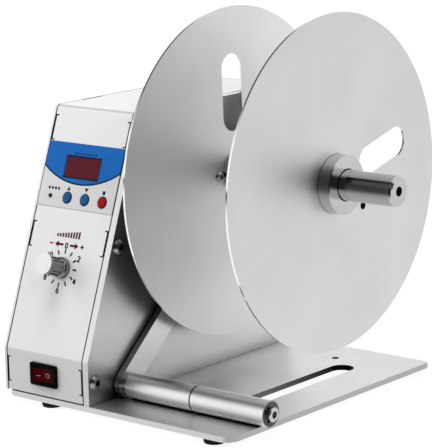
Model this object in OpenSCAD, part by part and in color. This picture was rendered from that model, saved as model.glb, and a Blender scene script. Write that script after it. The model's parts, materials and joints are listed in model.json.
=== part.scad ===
// Label rewinder. A motor in a sheet-metal control box turns a long spindle
// that stands out to the right. Labels wind up between two slotted discs, and
// a swinging arm with a guide roller keeps the web tight. +X runs along the
// spindle to its free end, +Y to the back, +Z up. The origin is on the floor,
// under the middle of the whole object.

/* [Base] */
// Width of the base plate, left to right
base_w = 208; // [196:1:225]
// Depth of the base plate, front to back
base_d = 233; // [230:1:260]
// Thickness of the base plate
base_t = 4; // [3.5:0.5:8]
// Corner radius at the front of the base plate
base_front_r = 10; // [3:1:16]
// Corner radius at the back of the base plate
base_rear_r = 4; // [2:1:16]
// Width of the long slot in the base plate
slot_w = 18; // [8:1:24]
// Length of the long slot from end to end
slot_l = 149; // [60:1:160]
// Centre line of the long slot from the right edge of the base
slot_in = 43; // [25:0.5:55]
// Diameter of the fixing hole behind the slot
fix_d = 5.5; // [4:0.5:8]
// Fixing hole from the right edge of the base
fix_in_x = 63.5; // [50:0.5:75]
// Fixing hole from the rear edge of the base
fix_in_y = 31; // [15:1:35]
// Diameter of a rubber foot
foot_d = 15; // [10:1:16]
// Height of a rubber foot
foot_h = 4; // [2:0.5:8]
// Left feet from the left edge of the base
foot_left_in = 38; // [20:1:60]
// Right feet from the right edge of the base
foot_right_in = 20.5; // [12:0.5:26]
// Feet from the front and rear edges of the base
foot_end_in = 8.5; // [8:0.5:14]

/* [Control box] */
// Width of the box over both side plates
box_w = 81; // [79:1:100]
// Depth of the box
box_d = 229; // [220:1:229]
// Height of the box above the base
box_h = 198.5; // [192:0.5:215]
// Height of the upright strip at the bottom of the front
low_h = 31.5; // [29:0.5:36]
// How far the sloping panel leans back over its height
slope_run = 62; // [55:1:70]
// Box front behind the front edge of the base
box_inset = 0.5; // [0:0.5:3]
// Thickness of the right side plate, which carries the spindle
plate_t = 5; // [4:0.5:6]
// Thickness of the left side plate
left_t = 2; // [1.5:0.5:3]
// Thickness of the cover sheet
sheet_t = 1.5; // [1:0.25:2]
// Outer radius of the bends in the cover
bend_r = 4; // [3:0.5:6]
// Gap between the cover and each side plate
seam = 1; // [0.5:0.25:1.25]
// Gap between the cover and the base
cover_lift = 0.8; // [0.4:0.1:1.5]
// Length of a bent fixing tab
tab_l = 17; // [14:1:17]
// Depth of a bent fixing tab behind the sheet
tab_depth = 13; // [12.5:0.5:15]
// Outer radius of the bend from the sheet into a tab
tab_bend_r = 2.5; // [2.25:0.25:2.75]
// Length of the relief notch at each end of a tab
notch_l = 3; // [2:0.5:4]
// Width of the relief notch
notch_w = 1; // [0.6:0.2:1]
// Side screws behind the face of the cover
screw_in = 6.5; // [6.3:0.1:7]
// Width of the left plate's foot flange
foot_flange = 12; // [10:1:14]

/* [Control panel] */
// Upper edge of the overlay below the top bend, along the slope
overlay_in = 26.6; // [25:0.2:30]
// Length of the overlay, along the slope
overlay_l = 47; // [46:0.5:48]
// Thickness of the overlay film
overlay_t = 0.4; // [0.2:0.1:0.6]
// Width of the display window
window_w = 32.4; // [28:0.2:36]
// Height of the display window
window_h = 14.4; // [12:0.2:16]
// Middle of the display window above the overlay's lower edge
window_up = 29.9; // [28:0.1:32]
// Push buttons and lamp above the overlay's lower edge
key_up = 7.5; // [6.5:0.5:9]
// Diameter of a push button
key_d = 7.5; // [6:0.5:9]
// Distance between push buttons
key_pitch = 16.8; // [14:0.2:18]
// Middle push button to the right of the panel's middle
key_off = 8.2; // [6:0.2:9]
// Travel of a push button
key_travel = 0.5; // [0.3:0.1:0.8]
// How far a button stands out of the overlay
key_out = 0.9; // [0.7:0.1:1.5]
// Diameter of the status lamp
lamp_d = 3; // [2:0.5:3.5]
// Lamp to the left of the panel's middle
lamp_off = 25; // [23:0.5:26]
// Knob and potentiometer below the overlay's lower edge
knob_down = 42.5; // [39:0.5:46]
// Diameter of the knob's base
knob_d = 15; // [14:0.5:18]
// Diameter of the knob's flared front
knob_front_d = 15.6; // [15:0.2:19]
// Height of the knob
knob_h = 20; // [17:0.5:24]
// Number of flutes round the knob
knob_flutes = 12; // [8:1:16]
// Width of the rocker switch bezel
bezel_w = 25; // [22:0.5:28]
// Height of the rocker switch bezel
bezel_h = 16.2; // [14:0.2:17]
// Thickness of the bezel's rim
bezel_t = 2; // [1.5:0.5:3]
// Middle of the switch above the base
switch_h = 16.4; // [15:0.2:18]
// Tilt of the rocker to each side
rocker_tilt = 8; // [6:1:10]

/* [Spindle and discs] */
// Spindle axis below the top of the box
axis_drop = 52; // [48:0.5:58]
// Spindle axis behind the front edge of the base
axis_in = 144; // [140:1:150]
// Diameter of the spindle
spindle_d = 22; // [21:0.5:24]
// Diameter of the spindle's journal in the bearings
journal_d = 20; // [18:0.5:20]
// Front of the inner disc from the right side plate
stand = 18.2; // [17:0.2:24]
// Length of spindle beyond the inner disc
reach = 144.8; // [120:0.2:180]
// Front of the outer disc from the front of the inner disc
spread = 90.8; // [60:0.2:105]
// Diameter of the discs
disc_d = 240; // [200:2:260]
// Thickness of the discs
disc_t = 1.5; // [1:0.25:2.5]
// Width of the finger slot in a disc
finger_w = 21.5; // [12:0.5:23]
// Inner end of the finger slot from the axis
finger_r0 = 29.5; // [29:0.5:34]
// Outer end of the finger slot from the axis
finger_r1 = 86; // [70:1:95]
// Direction of the inner disc's slot, from the back upwards
inner_turn = 91.5; // [0:0.5:359]
// Direction of the outer disc's slot, from the back upwards
outer_turn = 14.7; // [0:0.1:359]
// Diameter of the drive-pin hole in a disc
pin_hole_d = 6; // [4:0.5:8]
// Drive-pin hole from the axis
pin_hole_r = 38.5; // [36:0.5:45]
// Diameter of the boss that a disc sits on
boss_d = 27; // [26:0.5:28]
// How far the inner boss stands out of its disc
boss_out = 3; // [2:0.5:5]
// Circle of the disc screws, radius
disc_screw_r = 17.8; // [17.6:0.2:18.4]
// Diameter of the hub flange behind the inner disc
hub_flange_d = 46; // [45:1:50]
// Thickness of the hub flange
hub_flange_t = 5; // [4.5:0.5:6]
// Diameter of the hub behind its flange
hub_d = 34; // [30:1:40]
// Diameter of the outer disc's collar
collar_d = 42; // [42:1:50]
// Length of the collar in front of the outer disc
collar_l = 10; // [9:0.5:16]
// Direction of the collar's set screw
collar_screw_turn = 300; // [0:1:359]
// Width of the keyway in the spindle
key_w = 4.5; // [4:0.5:6]
// Depth of the keyway
key_deep = 2.8; // [2:0.2:3.2]
// Direction of the keyway
keyway_turn = 148; // [0:1:359]
// Distance from the collar to the keyway's closed end
key_margin = 5.5; // [3:0.5:12]
// Diameter of the hole in the spindle's end
centre_d = 7; // [4:0.5:9]
// Depth of the hole in the spindle's end
centre_l = 24; // [10:1:40]
// Chamfer at the spindle's end
tip_chamfer = 1.2; // [0.5:0.1:2]

/* [Bearings and drive] */
// Outer diameter of a bearing
bearing_d = 42; // [40:1:44]
// Width of a bearing
bearing_w = 12; // [10:1:13]
// Diameter of the bearing housing
housing_d = 52; // [50:1:54]
// Length of the housing behind the side plate
housing_l = 38; // [35:1:40]
// Diameter of the housing flange
housing_flange_d = 72; // [70:1:76]
// Thickness of the housing flange
housing_flange_t = 6; // [5:0.5:8]
// Radius of the spindle pulley under the belt
pulley_r = 24; // [20:1:26]
// Radius of the motor pulley under the belt
pinion_r = 12; // [9:1:13]
// Width of the drive belt
belt_w = 9; // [6:1:9]
// Thickness of the drive belt
belt_t = 1.5; // [1:0.25:2]
// Motor axis behind the spindle axis
motor_back = 30; // [20:1:35]
// Motor axis below the spindle axis
motor_down = 92; // [88:1:95]
// Diameter of the motor's gearbox
gearbox_d = 37; // [32:1:40]
// Length of the motor's gearbox
gearbox_l = 22; // [18:1:24]
// Diameter of the motor's can
can_d = 35; // [28:1:36]
// Length of the motor's can
can_l = 24; // [18:1:25]

/* [Arm and roller] */
// Gap between the side plate and the arm
arm_gap = 1; // [0.8:0.1:1.5]
// Thickness of the arm
arm_t = 5; // [4:0.5:5.5]
// Width of the arm
arm_w = 18.5; // [16:0.5:20]
// Length of the arm from pivot to roller
arm_l = 130; // [122:1:135]
// Arm's pivot in front of the spindle axis
pivot_fore = 11.4; // [8:0.2:16]
// Arm's pivot below the spindle axis
pivot_down = 51.1; // [49:0.1:54]
// Upward swing of the arm
arm_swing = 36; // [30:1:38]
// Diameter of the arm's shaft
arm_shaft_d = 10; // [8:0.5:12]
// Arm stops from the pivot
stop_l = 40; // [32:1:48]
// Diameter of an arm stop
stop_d = 8; // [5:0.5:9]
// Diameter of the guide roller
roller_d = 18.5; // [17.5:0.5:22]
// Roller's underside above the base at rest
roller_lift = 0.3; // [0.3:0.1:4]
// Length of the roller sleeve next to the arm
roller_inner_l = 58.6; // [45:0.2:66]
// Length of the outer roller sleeve
roller_outer_l = 63.4; // [56:0.2:80]
// Diameter of the roller's axle
axle_d = 10; // [8:0.5:11]
// Length of the axle's shoulder beside the arm
axle_shoulder_l = 3.8; // [2:0.2:6]
// Thickness of the washers beside the roller sleeves
washer_t = 0.5; // [0.4:0.1:1]

/* [Clearances] */
// Radial gap between a shaft and what turns or slides on it
run_gap = 0.05; // [0.02:0.01:0.09]
// Radial gap between pieces that are fixed in each other
seat_gap = 0.02; // [0.01:0.01:0.05]
// Gap between faces that move past each other
free_gap = 0.3; // [0.25:0.05:0.5]

/* [Hidden] */
$fn = 72;
eps = 1;

// Button-head side screws
side_screw_d = 6;
side_head_d = 10.8;
side_head_h = 3;
side_socket = 4;
nut_body_d = 7.8;
nut_body_l = 6;
nut_shank_d = 7;

// Small screws
small_d = 4;
small_head_d = 7.2;
small_head_h = 2.2;
small_socket = 2.5;
disc_screw_bite = 5.5;
disc_screw_turn = 93.5;
pin_hole_turn = 47.7;
base_screw_l = 14;
base_head_d = 8;
base_head_h = 2.2;

// Rocker: its axis lies behind the bezel's face, its ends are round about it
bezel_frame = 2.7;
rocker_axis_in = 3;
rocker_sunk = 0.8;
rocker_r = bezel_w / 2 - bezel_frame - free_gap;
rocker_face = rocker_axis_in - rocker_sunk;
rocker_slope = tan(2 * rocker_tilt);
rocker_wing = rocker_face * (1 + tan(rocker_tilt) * rocker_slope);
rocker_b = rocker_wing * rocker_slope;
rocker_end_x = (sqrt(rocker_b * rocker_b + (1 + rocker_slope * rocker_slope)
    * (rocker_r * rocker_r - rocker_wing * rocker_wing)) - rocker_b)
    / (1 + rocker_slope * rocker_slope);
rocker_out = rocker_wing + rocker_end_x * rocker_slope - rocker_axis_in;
switch_out = bezel_t + rocker_out;
switch_body_l = 20;

// Places across the object
disc_r = disc_d / 2;
span_x = side_head_h + box_w + stand + reach;
left_x = side_head_h - span_x / 2;
left_in = left_x + left_t;
wall_x = left_x + box_w;
wall_in = wall_x - plate_t;
disc_x = wall_x + stand;
outer_x = disc_x + spread;
tip_x = disc_x + reach;
cover_x0 = left_in + seam;
cover_x1 = wall_in - seam;
cover_w = cover_x1 - cover_x0;
mid_x = (cover_x0 + cover_x1) / 2;
base_x1 = left_x + base_w;

// Places front to back
front_out = switch_out - box_inset;
span_y = front_out + axis_in + disc_r;
front_y = front_out - span_y / 2;
axis_y = front_y + axis_in;
box_y = front_y + box_inset;
rear_y = box_y + box_d;
slot_y = front_y + base_d / 2;

// Heights
top_z = foot_h + base_t;
axis_z = top_z + box_h - axis_drop;
roller_z = top_z + roller_lift + roller_d / 2;

// Pivot near the spindle; the arm leans so that the roller lies low at rest
pivot_y = axis_y - pivot_fore;
pivot_z = axis_z - pivot_down;
arm_rise = asin((pivot_z - roller_z) / arm_l);
roller_y = pivot_y - arm_l * cos(arm_rise);

// Sloping panel
slope_h = box_h - low_h;
slope_l = norm([slope_run, slope_h]);
tilt = atan2(slope_run, slope_h);
overlay_top = slope_l - overlay_in;
overlay_low = overlay_top - overlay_l;
window_s = overlay_low + window_up;
key_s = overlay_low + key_up;
knob_s = overlay_low - knob_down;

// Tabs of the cover and of the rear panel
front_tab_h = 16;
slope_tab_in = 16.6;
slope_tab_pitch = 78;
slope_tabs = [slope_l - slope_tab_in - slope_tab_pitch, slope_l - slope_tab_in];
top_tab_front = 35;
top_tab_rear = 45;
top_tab_y = [slope_run + top_tab_front, box_d - top_tab_rear];
rear_tab_low = 45;
rear_tab_drop = 48.5;
rear_tab_h = [rear_tab_low, box_h - rear_tab_drop];

// Each station is the middle of a tab on the outer face of the sheet: place
// front to back and height on the box, and the turn of the sheet there
cover_stations = concat(
    [[0, front_tab_h, 90]],
    [for (s = slope_tabs) [s * sin(tilt), low_h + s * cos(tilt), 90 - tilt]],
    [for (y = top_tab_y) [y, box_h, 0]]);
rear_stations = [for (z = rear_tab_h) [box_d, z, -90]];
stations = concat(cover_stations, rear_stations);

// Control panel stack, heights along the panel's normal
window_flange = 1;
window_lip = 1.8;
module_t = 8;
board_t = 1.6;
board_h0 = -sheet_t - window_flange - module_t;
board_w = 62;
board_below = 4.5;
board_l = 50;
board_s0 = overlay_low - board_below;
board_s1 = board_s0 + board_l;
board_edge = 3.5;
key_sw_w = 6;
key_sw_h = 5;
key_x = [for (i = [-1:1]) mid_x + key_off + i * key_pitch];
key_gap = 0.3;
key_flange_out = 1;
key_flange_t = 1;
standoff_d = 5.5;
pot_bush_d = 7;
pot_shaft_d = 6;
pot_body_d = 16.5;
pot_body_l = 9;
pot_bush_l = 3;
pot_nut_d = 11;
pot_nut_t = 2;
knob_gap = 0.4;
knob_recess_d = 12;
knob_recess_l = 3.4;
pot_shaft_out = 14;

// Control board on the left plate
ctrl_fore = 10;
ctrl_up = 52;
ctrl_y0 = box_y + slope_run - ctrl_fore;
ctrl_w = 52;
ctrl_z0 = top_z + ctrl_up;
ctrl_h = 75;
ctrl_off = 8;
sink_at = [6, 8];
sink_size = [14, 12, 26];
relay_at = [24, 10];
relay_size = [15, 16, 20];
cap_d = 10;
cap_l = 16;
cap_z = [46, 60];

// Drive
pulley_gap = 5;
pulley_rim = 1.5;
belt_side = 0.5;
pulley_w = belt_w + 2 * (pulley_rim + belt_side);
pulley_x0 = left_in + pulley_gap;
pulley_x1 = pulley_x0 + pulley_w;
pulley_hub_l = 6;
motor_y = axis_y + motor_back;
motor_z = axis_z - motor_down;
bracket_t = 3;
bracket_x = pulley_x1 + 4;
bracket_w = gearbox_d + 11;
bracket_foot_l = 25;
motor_shaft_d = 6;
motor_boss_d = 12;
motor_bore_l = 7;
motor_screw_r = 13.5;
motor_screw_d = 3;
motor_screw_bite = 4;
motor_head_d = 5.5;
motor_head_h = 1.6;
motor_socket = 2;

// Bearings
housing_x0 = wall_in - housing_l;
bearing_in = 1;
race_gap = 0.3;
housing_screw_r = (housing_d + housing_flange_d) / 4;
housing_screw_d = 5;
housing_screw_bite = 3.5;

// Arm
arm_x = wall_x + arm_gap;
pivot_r = 12;
bush_d = 14;
bush_flange_d = 20;
bush_in = 1;
vane_hub_d = 18;
vane_hub_l = 8;
vane_t = 1.2;
vane_r = 32;
vane_half = 20;
arm_shaft_in = bush_in + free_gap + vane_hub_l + 1;
arm_screw_d = 5;
arm_screw_l = 12;
arm_head_d = 12;
arm_head_h = 3;
sensor_r0 = 22;
sensor_r1 = 38;
sensor_w = 11;
sensor_web = 3.5;
sensor_slot = 4.4;
stop_off = arm_w / 2 + free_gap + stop_d / 2;

// Roller
roller_x0 = arm_x + arm_t + axle_shoulder_l + 2 * free_gap + washer_t;
roller_x1 = roller_x0 + roller_inner_l;
roller_x2 = roller_x1 + 2 * free_gap + washer_t;
roller_x3 = roller_x2 + roller_outer_l;
roller_recess_d = 16.6;
roller_recess_l = 1.6;
clip_t = 1.2;
clip_d = 15.4;
clip_groove = 0.8;
axle_out = 3.2;
axle_shoulder_d = 16.5;
axle_hole_d = 5;
axle_hole_l = 6;
roller_washer_d = 15;

// Power parts
psu_w = 50;
psu_l = 80;
psu_h = 34;
psu_in = 42;
psu_side = 3;
psu_y0 = box_y + psu_in;
psu_x0 = left_in + foot_flange + psu_side;
inlet_w = 27;
inlet_h = 20;
inlet_rim = 2;
inlet_rim_t = 2.5;
inlet_l = 20;
inlet_wall = 1.5;
inlet_deep = 16;
inlet_pin_in = 6.5;
inlet_drop = 102.5;
inlet_z = top_z + box_h - inlet_drop;
vent_w = 44;
vent_h = 3;
vent_pitch = 8;
vent_rows = 5;
vent_drop = 74.5;
vent_z = top_z + box_h - vent_drop;

// Points of an outline with its corners rounded, each by its own radius
function unit(v) = v / norm(v);
function corner_arc(a, p, b, r, n) =
    let (u = unit(a - p), v = unit(b - p), half = acos(u * v) / 2,
         c = p + unit(u + v) * r / sin(half),
         s = p + u * r / tan(half) - c,
         e = p + v * r / tan(half) - c,
         a0 = atan2(s.y, s.x),
         turn = (atan2(e.y, e.x) - a0 + 540) % 360 - 180)
    [for (i = [0:n]) c + r * [cos(a0 + turn * i / n), sin(a0 + turn * i / n)]];
function rounded(pts, radii, n = 8) =
    let (k = len(pts))
    [for (i = [0:k - 1])
        each radii[i] > 0
            ? corner_arc(pts[(i + k - 1) % k], pts[i], pts[(i + 1) % k], radii[i], n)
            : [pts[i]]];

// Closed loop round two pulleys, at the radii given
function loop_points(c1, r1, c2, r2, n = 28) =
    let (d = c2 - c1, phi = atan2(d.y, d.x), a = acos((r1 - r2) / norm(d)))
    concat(
        [for (i = [0:n]) let (t = phi + a + (360 - 2 * a) * i / n)
            c1 + r1 * [cos(t), sin(t)]],
        [for (i = [0:n]) let (t = phi - a + 2 * a * i / n)
            c2 + r2 * [cos(t), sin(t)]]);

// Outline of a side plate, front to back and up from the base
function side_outline() = rounded(
    [[0, 0], [0, low_h], [slope_run, box_h], [box_d, box_h], [box_d, 0]],
    [0, bend_r, bend_r, 1, 0]);

// Section of the bent cover sheet
function cover_outline() =
    let (end_y = box_d - sheet_t - seam,
         low_turn = sheet_t * tan(tilt / 2),
         top_turn = sheet_t * tan((90 - tilt) / 2))
    rounded(
        [[0, cover_lift], [0, low_h], [slope_run, box_h], [end_y, box_h],
         [end_y, box_h - sheet_t], [slope_run + top_turn, box_h - sheet_t],
         [sheet_t, low_h - low_turn], [sheet_t, cover_lift]],
        [0, bend_r, bend_r, 0, 0, bend_r - sheet_t, bend_r - sheet_t, 0]);

// Sets children on the side of the box: their X runs back, their Y up
module box_side(x, t) {
    translate([x, box_y, top_z])
        rotate([90, 0, 90])
            linear_extrude(t) children();
}

// Sets children on the sloping panel, their Y up the slope, their Z outwards
module on_panel(x, s, h = 0) {
    translate([x, box_y, top_z + low_h])
        rotate([90 - tilt, 0, 0])
            translate([0, s, h]) children();
}

// Sets children on the upright front, their Y up, their Z outwards
module on_front(x, z, h = 0) {
    translate([x, box_y, top_z + z])
        rotate([90, 0, 0])
            translate([0, 0, h]) children();
}

// Sets children at a tab, their Y along the sheet, their Z outwards
module at_station(st) {
    translate([0, box_y + st[0], top_z + st[1]])
        rotate([st[2], 0, 0]) children();
}

// Rod along X at a place, from its left end
module rod(x, y, z, d, l) {
    translate([x, y, z])
        rotate([0, 90, 0])
            cylinder(d = d, h = l);
}

// Ring along X on the spindle axis
module axis_ring(x, d, bore, l) {
    difference() {
        rod(x, axis_y, axis_z, d, l);
        rod(x - eps, axis_y, axis_z, bore, l + 2 * eps);
    }
}

// Turns children about the spindle axis: their Y points along the direction
module on_axis(turn) {
    translate([0, axis_y, axis_z])
        rotate([turn, 0, 0]) children();
}

// Button-head screw, its head above the plane and its shank below
module button_screw(d, l, head_d, head_h, socket) {
    // Domed between a short upright rim and a flat top
    rim_h = head_h / 4;
    flat_r = head_d * 0.32;
    ball_z = (head_h * head_h - rim_h * rim_h + flat_r * flat_r - head_d * head_d / 4)
        / (2 * (head_h - rim_h));
    ball_r = norm([flat_r, head_h - ball_z]);
    difference() {
        union() {
            intersection() {
                cylinder(d = head_d, h = head_h);
                translate([0, 0, ball_z]) sphere(r = ball_r);
            }
            translate([0, 0, -l]) cylinder(d = d, h = l + head_h / 4);
        }
        translate([0, 0, head_h * 0.35])
            cylinder(d = socket * 2 / sqrt(3), h = head_h, $fn = 6);
    }
}

// Block centred in X and Y on the plane, from one height to another
module block(w, l, h0, h1) {
    translate([-w / 2, -l / 2, h0]) cube([w, l, h1 - h0]);
}

// Slot along Y between two rows, round at its ends
module long_slot(w, l, h) {
    run = l - w;
    for (s = [-1, 1])
        translate([0, s * run / 2, 0]) cylinder(d = w, h = h);
    translate([-w / 2, -run / 2, 0]) cube([w, run, h]);
}

// Places of the base screws, with what each one holds above the base
right_plate_y = [box_y + 18, box_y + box_d / 2, rear_y - 18];
left_flange_y = [box_y + 30, rear_y - 30];
bracket_screw_y = [motor_y - bracket_w / 2 + 8, motor_y + bracket_w / 2 - 8];
psu_screw_y = [psu_y0 + 12, psu_y0 + psu_l - 12];
base_screw_places = concat(
    [for (y = right_plate_y) [wall_x - plate_t / 2, y]],
    [for (y = left_flange_y) [left_in + foot_flange / 2, y]],
    [for (y = bracket_screw_y) [bracket_x + bracket_t + bracket_foot_l / 2, y]],
    [for (y = psu_screw_y) [psu_x0 + psu_w / 2, y]]);

module base_screw_hole(extra) {
    translate([0, 0, foot_h - extra])
        cylinder(d = base_head_d + 2 * seat_gap, h = extra);
    translate([0, 0, foot_h])
        cylinder(d1 = base_head_d + 2 * seat_gap, d2 = small_d + 2 * seat_gap, h = base_head_h);
    translate([0, 0, foot_h])
        cylinder(d = small_d + 2 * seat_gap, h = base_screw_l + extra);
}

module base_screw_holes() {
    for (p = base_screw_places)
        translate([p.x, p.y, 0]) base_screw_hole(eps);
}

module base_screws() {
    color("silver")
        for (p = base_screw_places)
            translate([p.x, p.y, foot_h]) {
                cylinder(d1 = base_head_d, d2 = small_d, h = base_head_h);
                cylinder(d = small_d, h = base_screw_l);
            }
}

module base_plate() {
    color("gainsboro")
        difference() {
            translate([left_x, front_y, foot_h])
                linear_extrude(base_t)
                    polygon(rounded(
                        [[0, 0], [base_w, 0], [base_w, base_d], [0, base_d]],
                        [base_front_r, base_front_r, base_rear_r, base_rear_r]));
            translate([base_x1 - slot_in, slot_y, foot_h - eps])
                long_slot(slot_w, slot_l, base_t + 2 * eps);
            translate([base_x1 - fix_in_x, front_y + base_d - fix_in_y, foot_h - eps])
                cylinder(d = fix_d, h = base_t + 2 * eps);
            base_screw_holes();
        }
}

module rubber_feet() {
    color("black")
        for (x = [left_x + foot_left_in, base_x1 - foot_right_in],
             y = [front_y + foot_end_in, front_y + base_d - foot_end_in])
            translate([x, y, 0]) {
                cylinder(d1 = foot_d - 1, d2 = foot_d, h = foot_h / 3);
                translate([0, 0, foot_h / 3]) cylinder(d = foot_d, h = foot_h * 2 / 3);
            }
}

// Holes for the side screws, through a plate
module station_holes(x, t) {
    for (st = stations)
        at_station(st)
            translate([x - eps, 0, -screw_in])
                rotate([0, 90, 0]) cylinder(d = side_screw_d + 0.4, h = t + 2 * eps);
}

module right_side_plate() {
    color("darkgray")
        difference() {
            box_side(wall_in, plate_t) polygon(side_outline());
            rod(wall_in - eps, axis_y, axis_z, housing_d + 2 * seat_gap, plate_t + 2 * eps);
            rod(wall_in - eps, pivot_y, pivot_z, bush_d + 2 * seat_gap, plate_t + 2 * eps);
            station_holes(wall_in, plate_t);
            for (i = [0:3])
                on_axis(45 + 90 * i)
                    rod(wall_in - eps, housing_screw_r, 0,
                        housing_screw_d + 2 * seat_gap, housing_screw_bite + eps);
            arm_stop_rods(stop_d + 2 * seat_gap, wall_in - eps, plate_t + 2 * eps);
            base_screw_holes();
        }
}

module left_side_plate() {
    color("gainsboro")
        difference() {
            union() {
                box_side(left_x, left_t) polygon(side_outline());
                translate([left_x, box_y + 10, top_z])
                    cube([left_t + foot_flange, box_d - 20, left_t]);
            }
            station_holes(left_x, left_t);
            base_screw_holes();
            for (p = standoff_places_left())
                rod(left_x - eps, p[0], p[1], 3.2, left_t + 2 * eps);
        }
}

// Cuts the sheet's edge at a tab: back to the bend, and notched beside it
module tab_trim(x_edge, x_plate, side) {
    back_x = x_plate - side * tab_bend_r;
    notch_x = x_edge - side * notch_l;
    across = tab_l + 2 * notch_w;
    translate([min(back_x, x_plate), -across / 2, -sheet_t - eps])
        cube([tab_bend_r, across, sheet_t + 2 * eps]);
    for (s = [-1, 1])
        translate([min(notch_x, x_plate), s * (tab_l + notch_w) / 2 - notch_w / 2, -sheet_t - eps])
            cube([notch_l + seam, notch_w, sheet_t + 2 * eps]);
}

// Fixing tab bent in along the side plate, with the clinch nut's hole
module tab(x_edge, x_plate, side) {
    x0 = x_edge - side * notch_l;
    inner = x_plate - side * sheet_t;
    difference() {
        translate([0, tab_l / 2, 0])
            rotate([90, 0, 0])
                linear_extrude(tab_l)
                    polygon(rounded(
                        [[x0, 0], [x_plate, 0], [x_plate, -tab_depth], [inner, -tab_depth],
                         [inner, -sheet_t], [x0, -sheet_t]],
                        [0, tab_bend_r, 0, 0, tab_bend_r - sheet_t, 0]));
        translate([min(inner, x_plate) - eps, 0, -screw_in])
            rotate([0, 90, 0]) cylinder(d = nut_shank_d + 2 * seat_gap, h = sheet_t + 2 * eps);
    }
}

module tabs(list) {
    for (st = list)
        at_station(st) {
            tab(cover_x0, left_in, -1);
            tab(cover_x1, wall_in, 1);
        }
}

module tab_trims(list) {
    for (st = list)
        at_station(st) {
            tab_trim(cover_x0, left_in, -1);
            tab_trim(cover_x1, wall_in, 1);
        }
}

module front_cover() {
    color("whitesmoke") {
        difference() {
            box_side(cover_x0, cover_w) polygon(cover_outline());
            tab_trims(cover_stations);
            on_panel(mid_x, window_s)
                block(window_w + 2 * free_gap, window_h + 2 * free_gap, -sheet_t - eps, eps);
            for (x = key_x)
                on_panel(x, key_s, -sheet_t - eps)
                    cylinder(d = key_d + 2 * key_gap, h = sheet_t + 2 * eps);
            on_panel(mid_x - lamp_off, key_s, -sheet_t - eps)
                cylinder(d = lamp_d + 2 * seat_gap, h = sheet_t + 2 * eps);
            on_panel(mid_x, knob_s, -sheet_t - eps)
                cylinder(d = pot_bush_d + 2 * seat_gap, h = sheet_t + 2 * eps);
            on_front(mid_x, switch_h)
                block(bezel_w - 3 + 2 * seat_gap, bezel_h - 3 + 2 * seat_gap, -sheet_t - eps, eps);
        }
        tabs(cover_stations);
    }
}

module rear_panel() {
    color("whitesmoke") {
        difference() {
            translate([cover_x0, rear_y - sheet_t, top_z + cover_lift])
                cube([cover_w, sheet_t, box_h - cover_lift]);
            tab_trims(rear_stations);
            translate([mid_x - inlet_w / 2 - seat_gap, rear_y - sheet_t - eps,
                       inlet_z - inlet_h / 2 - seat_gap])
                cube([inlet_w + 2 * seat_gap, sheet_t + 2 * eps, inlet_h + 2 * seat_gap]);
            for (i = [0:vent_rows - 1])
                translate([mid_x - vent_w / 2, rear_y - sheet_t - eps, vent_z + i * vent_pitch])
                    cube([vent_w, sheet_t + 2 * eps, vent_h]);
        }
        tabs(rear_stations);
    }
}

module side_screw(t) {
    button_screw(side_screw_d, t + sheet_t + nut_body_l,
        side_head_d, side_head_h, side_socket);
}

module right_plate_screws() {
    color("silver")
        for (st = stations)
            at_station(st)
                translate([wall_x, 0, -screw_in])
                    rotate([0, 90, 0]) side_screw(plate_t);
}

module left_plate_screws() {
    color("silver")
        for (st = stations)
            at_station(st)
                translate([left_x, 0, -screw_in])
                    rotate([0, -90, 0]) side_screw(left_t);
}

// Clinch nut: its shank in the tab, its body on the tab's inner face
module clinch_nut() {
    difference() {
        union() {
            cylinder(d = nut_shank_d, h = sheet_t + eps);
            translate([0, 0, sheet_t]) cylinder(d = nut_body_d, h = nut_body_l);
        }
        translate([0, 0, -eps])
            cylinder(d = side_screw_d + 2 * seat_gap, h = sheet_t + nut_body_l + 2 * eps);
    }
}

module clinch_nuts() {
    color("goldenrod")
        for (st = stations)
            at_station(st) {
                translate([left_in, 0, -screw_in]) rotate([0, 90, 0]) clinch_nut();
                translate([wall_in, 0, -screw_in]) rotate([0, -90, 0]) clinch_nut();
            }
}

module panel_overlay() {
    color("royalblue")
        difference() {
            on_panel(mid_x, (overlay_low + overlay_top) / 2)
                block(cover_w, overlay_top - overlay_low, 0, overlay_t);
            on_panel(mid_x, window_s)
                block(window_w + 2 * free_gap, window_h + 2 * free_gap, -eps, eps);
            for (x = key_x)
                on_panel(x, key_s, -eps)
                    cylinder(d = key_d + 2 * key_gap, h = 2 * eps);
            on_panel(mid_x - lamp_off, key_s, -eps)
                cylinder(d = lamp_d + 2 * seat_gap, h = 2 * eps);
        }
}

module display_window() {
    color("darkred")
        on_panel(mid_x, window_s) {
            block(window_w, window_h, -sheet_t, overlay_t);
            block(window_w + 2 * window_lip, window_h + 2 * window_lip,
                -sheet_t - window_flange, -sheet_t);
        }
}

module display_module() {
    color("dimgray")
        on_panel(mid_x, window_s)
            block(window_w - 2, window_h - 0.4, board_h0, board_h0 + module_t);
}

module display_board() {
    color("green")
        on_panel(mid_x, (board_s0 + board_s1) / 2)
            block(board_w, board_s1 - board_s0, board_h0 - board_t, board_h0);
}

module status_lamp() {
    color("red")
        on_panel(mid_x - lamp_off, key_s, board_h0) {
            stem = overlay_t - board_h0;
            cylinder(d = lamp_d, h = stem);
            intersection() {
                translate([0, 0, stem]) sphere(d = lamp_d);
                translate([0, 0, stem - 0.2]) cylinder(d = lamp_d, h = lamp_d);
            }
        }
}

module key_switches() {
    color("black")
        for (x = key_x)
            on_panel(x, key_s) {
                block(key_sw_w, key_sw_w, board_h0, board_h0 + key_sw_h - 1);
                translate([0, 0, board_h0]) cylinder(d = 3.4, h = key_sw_h);
            }
}

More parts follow.
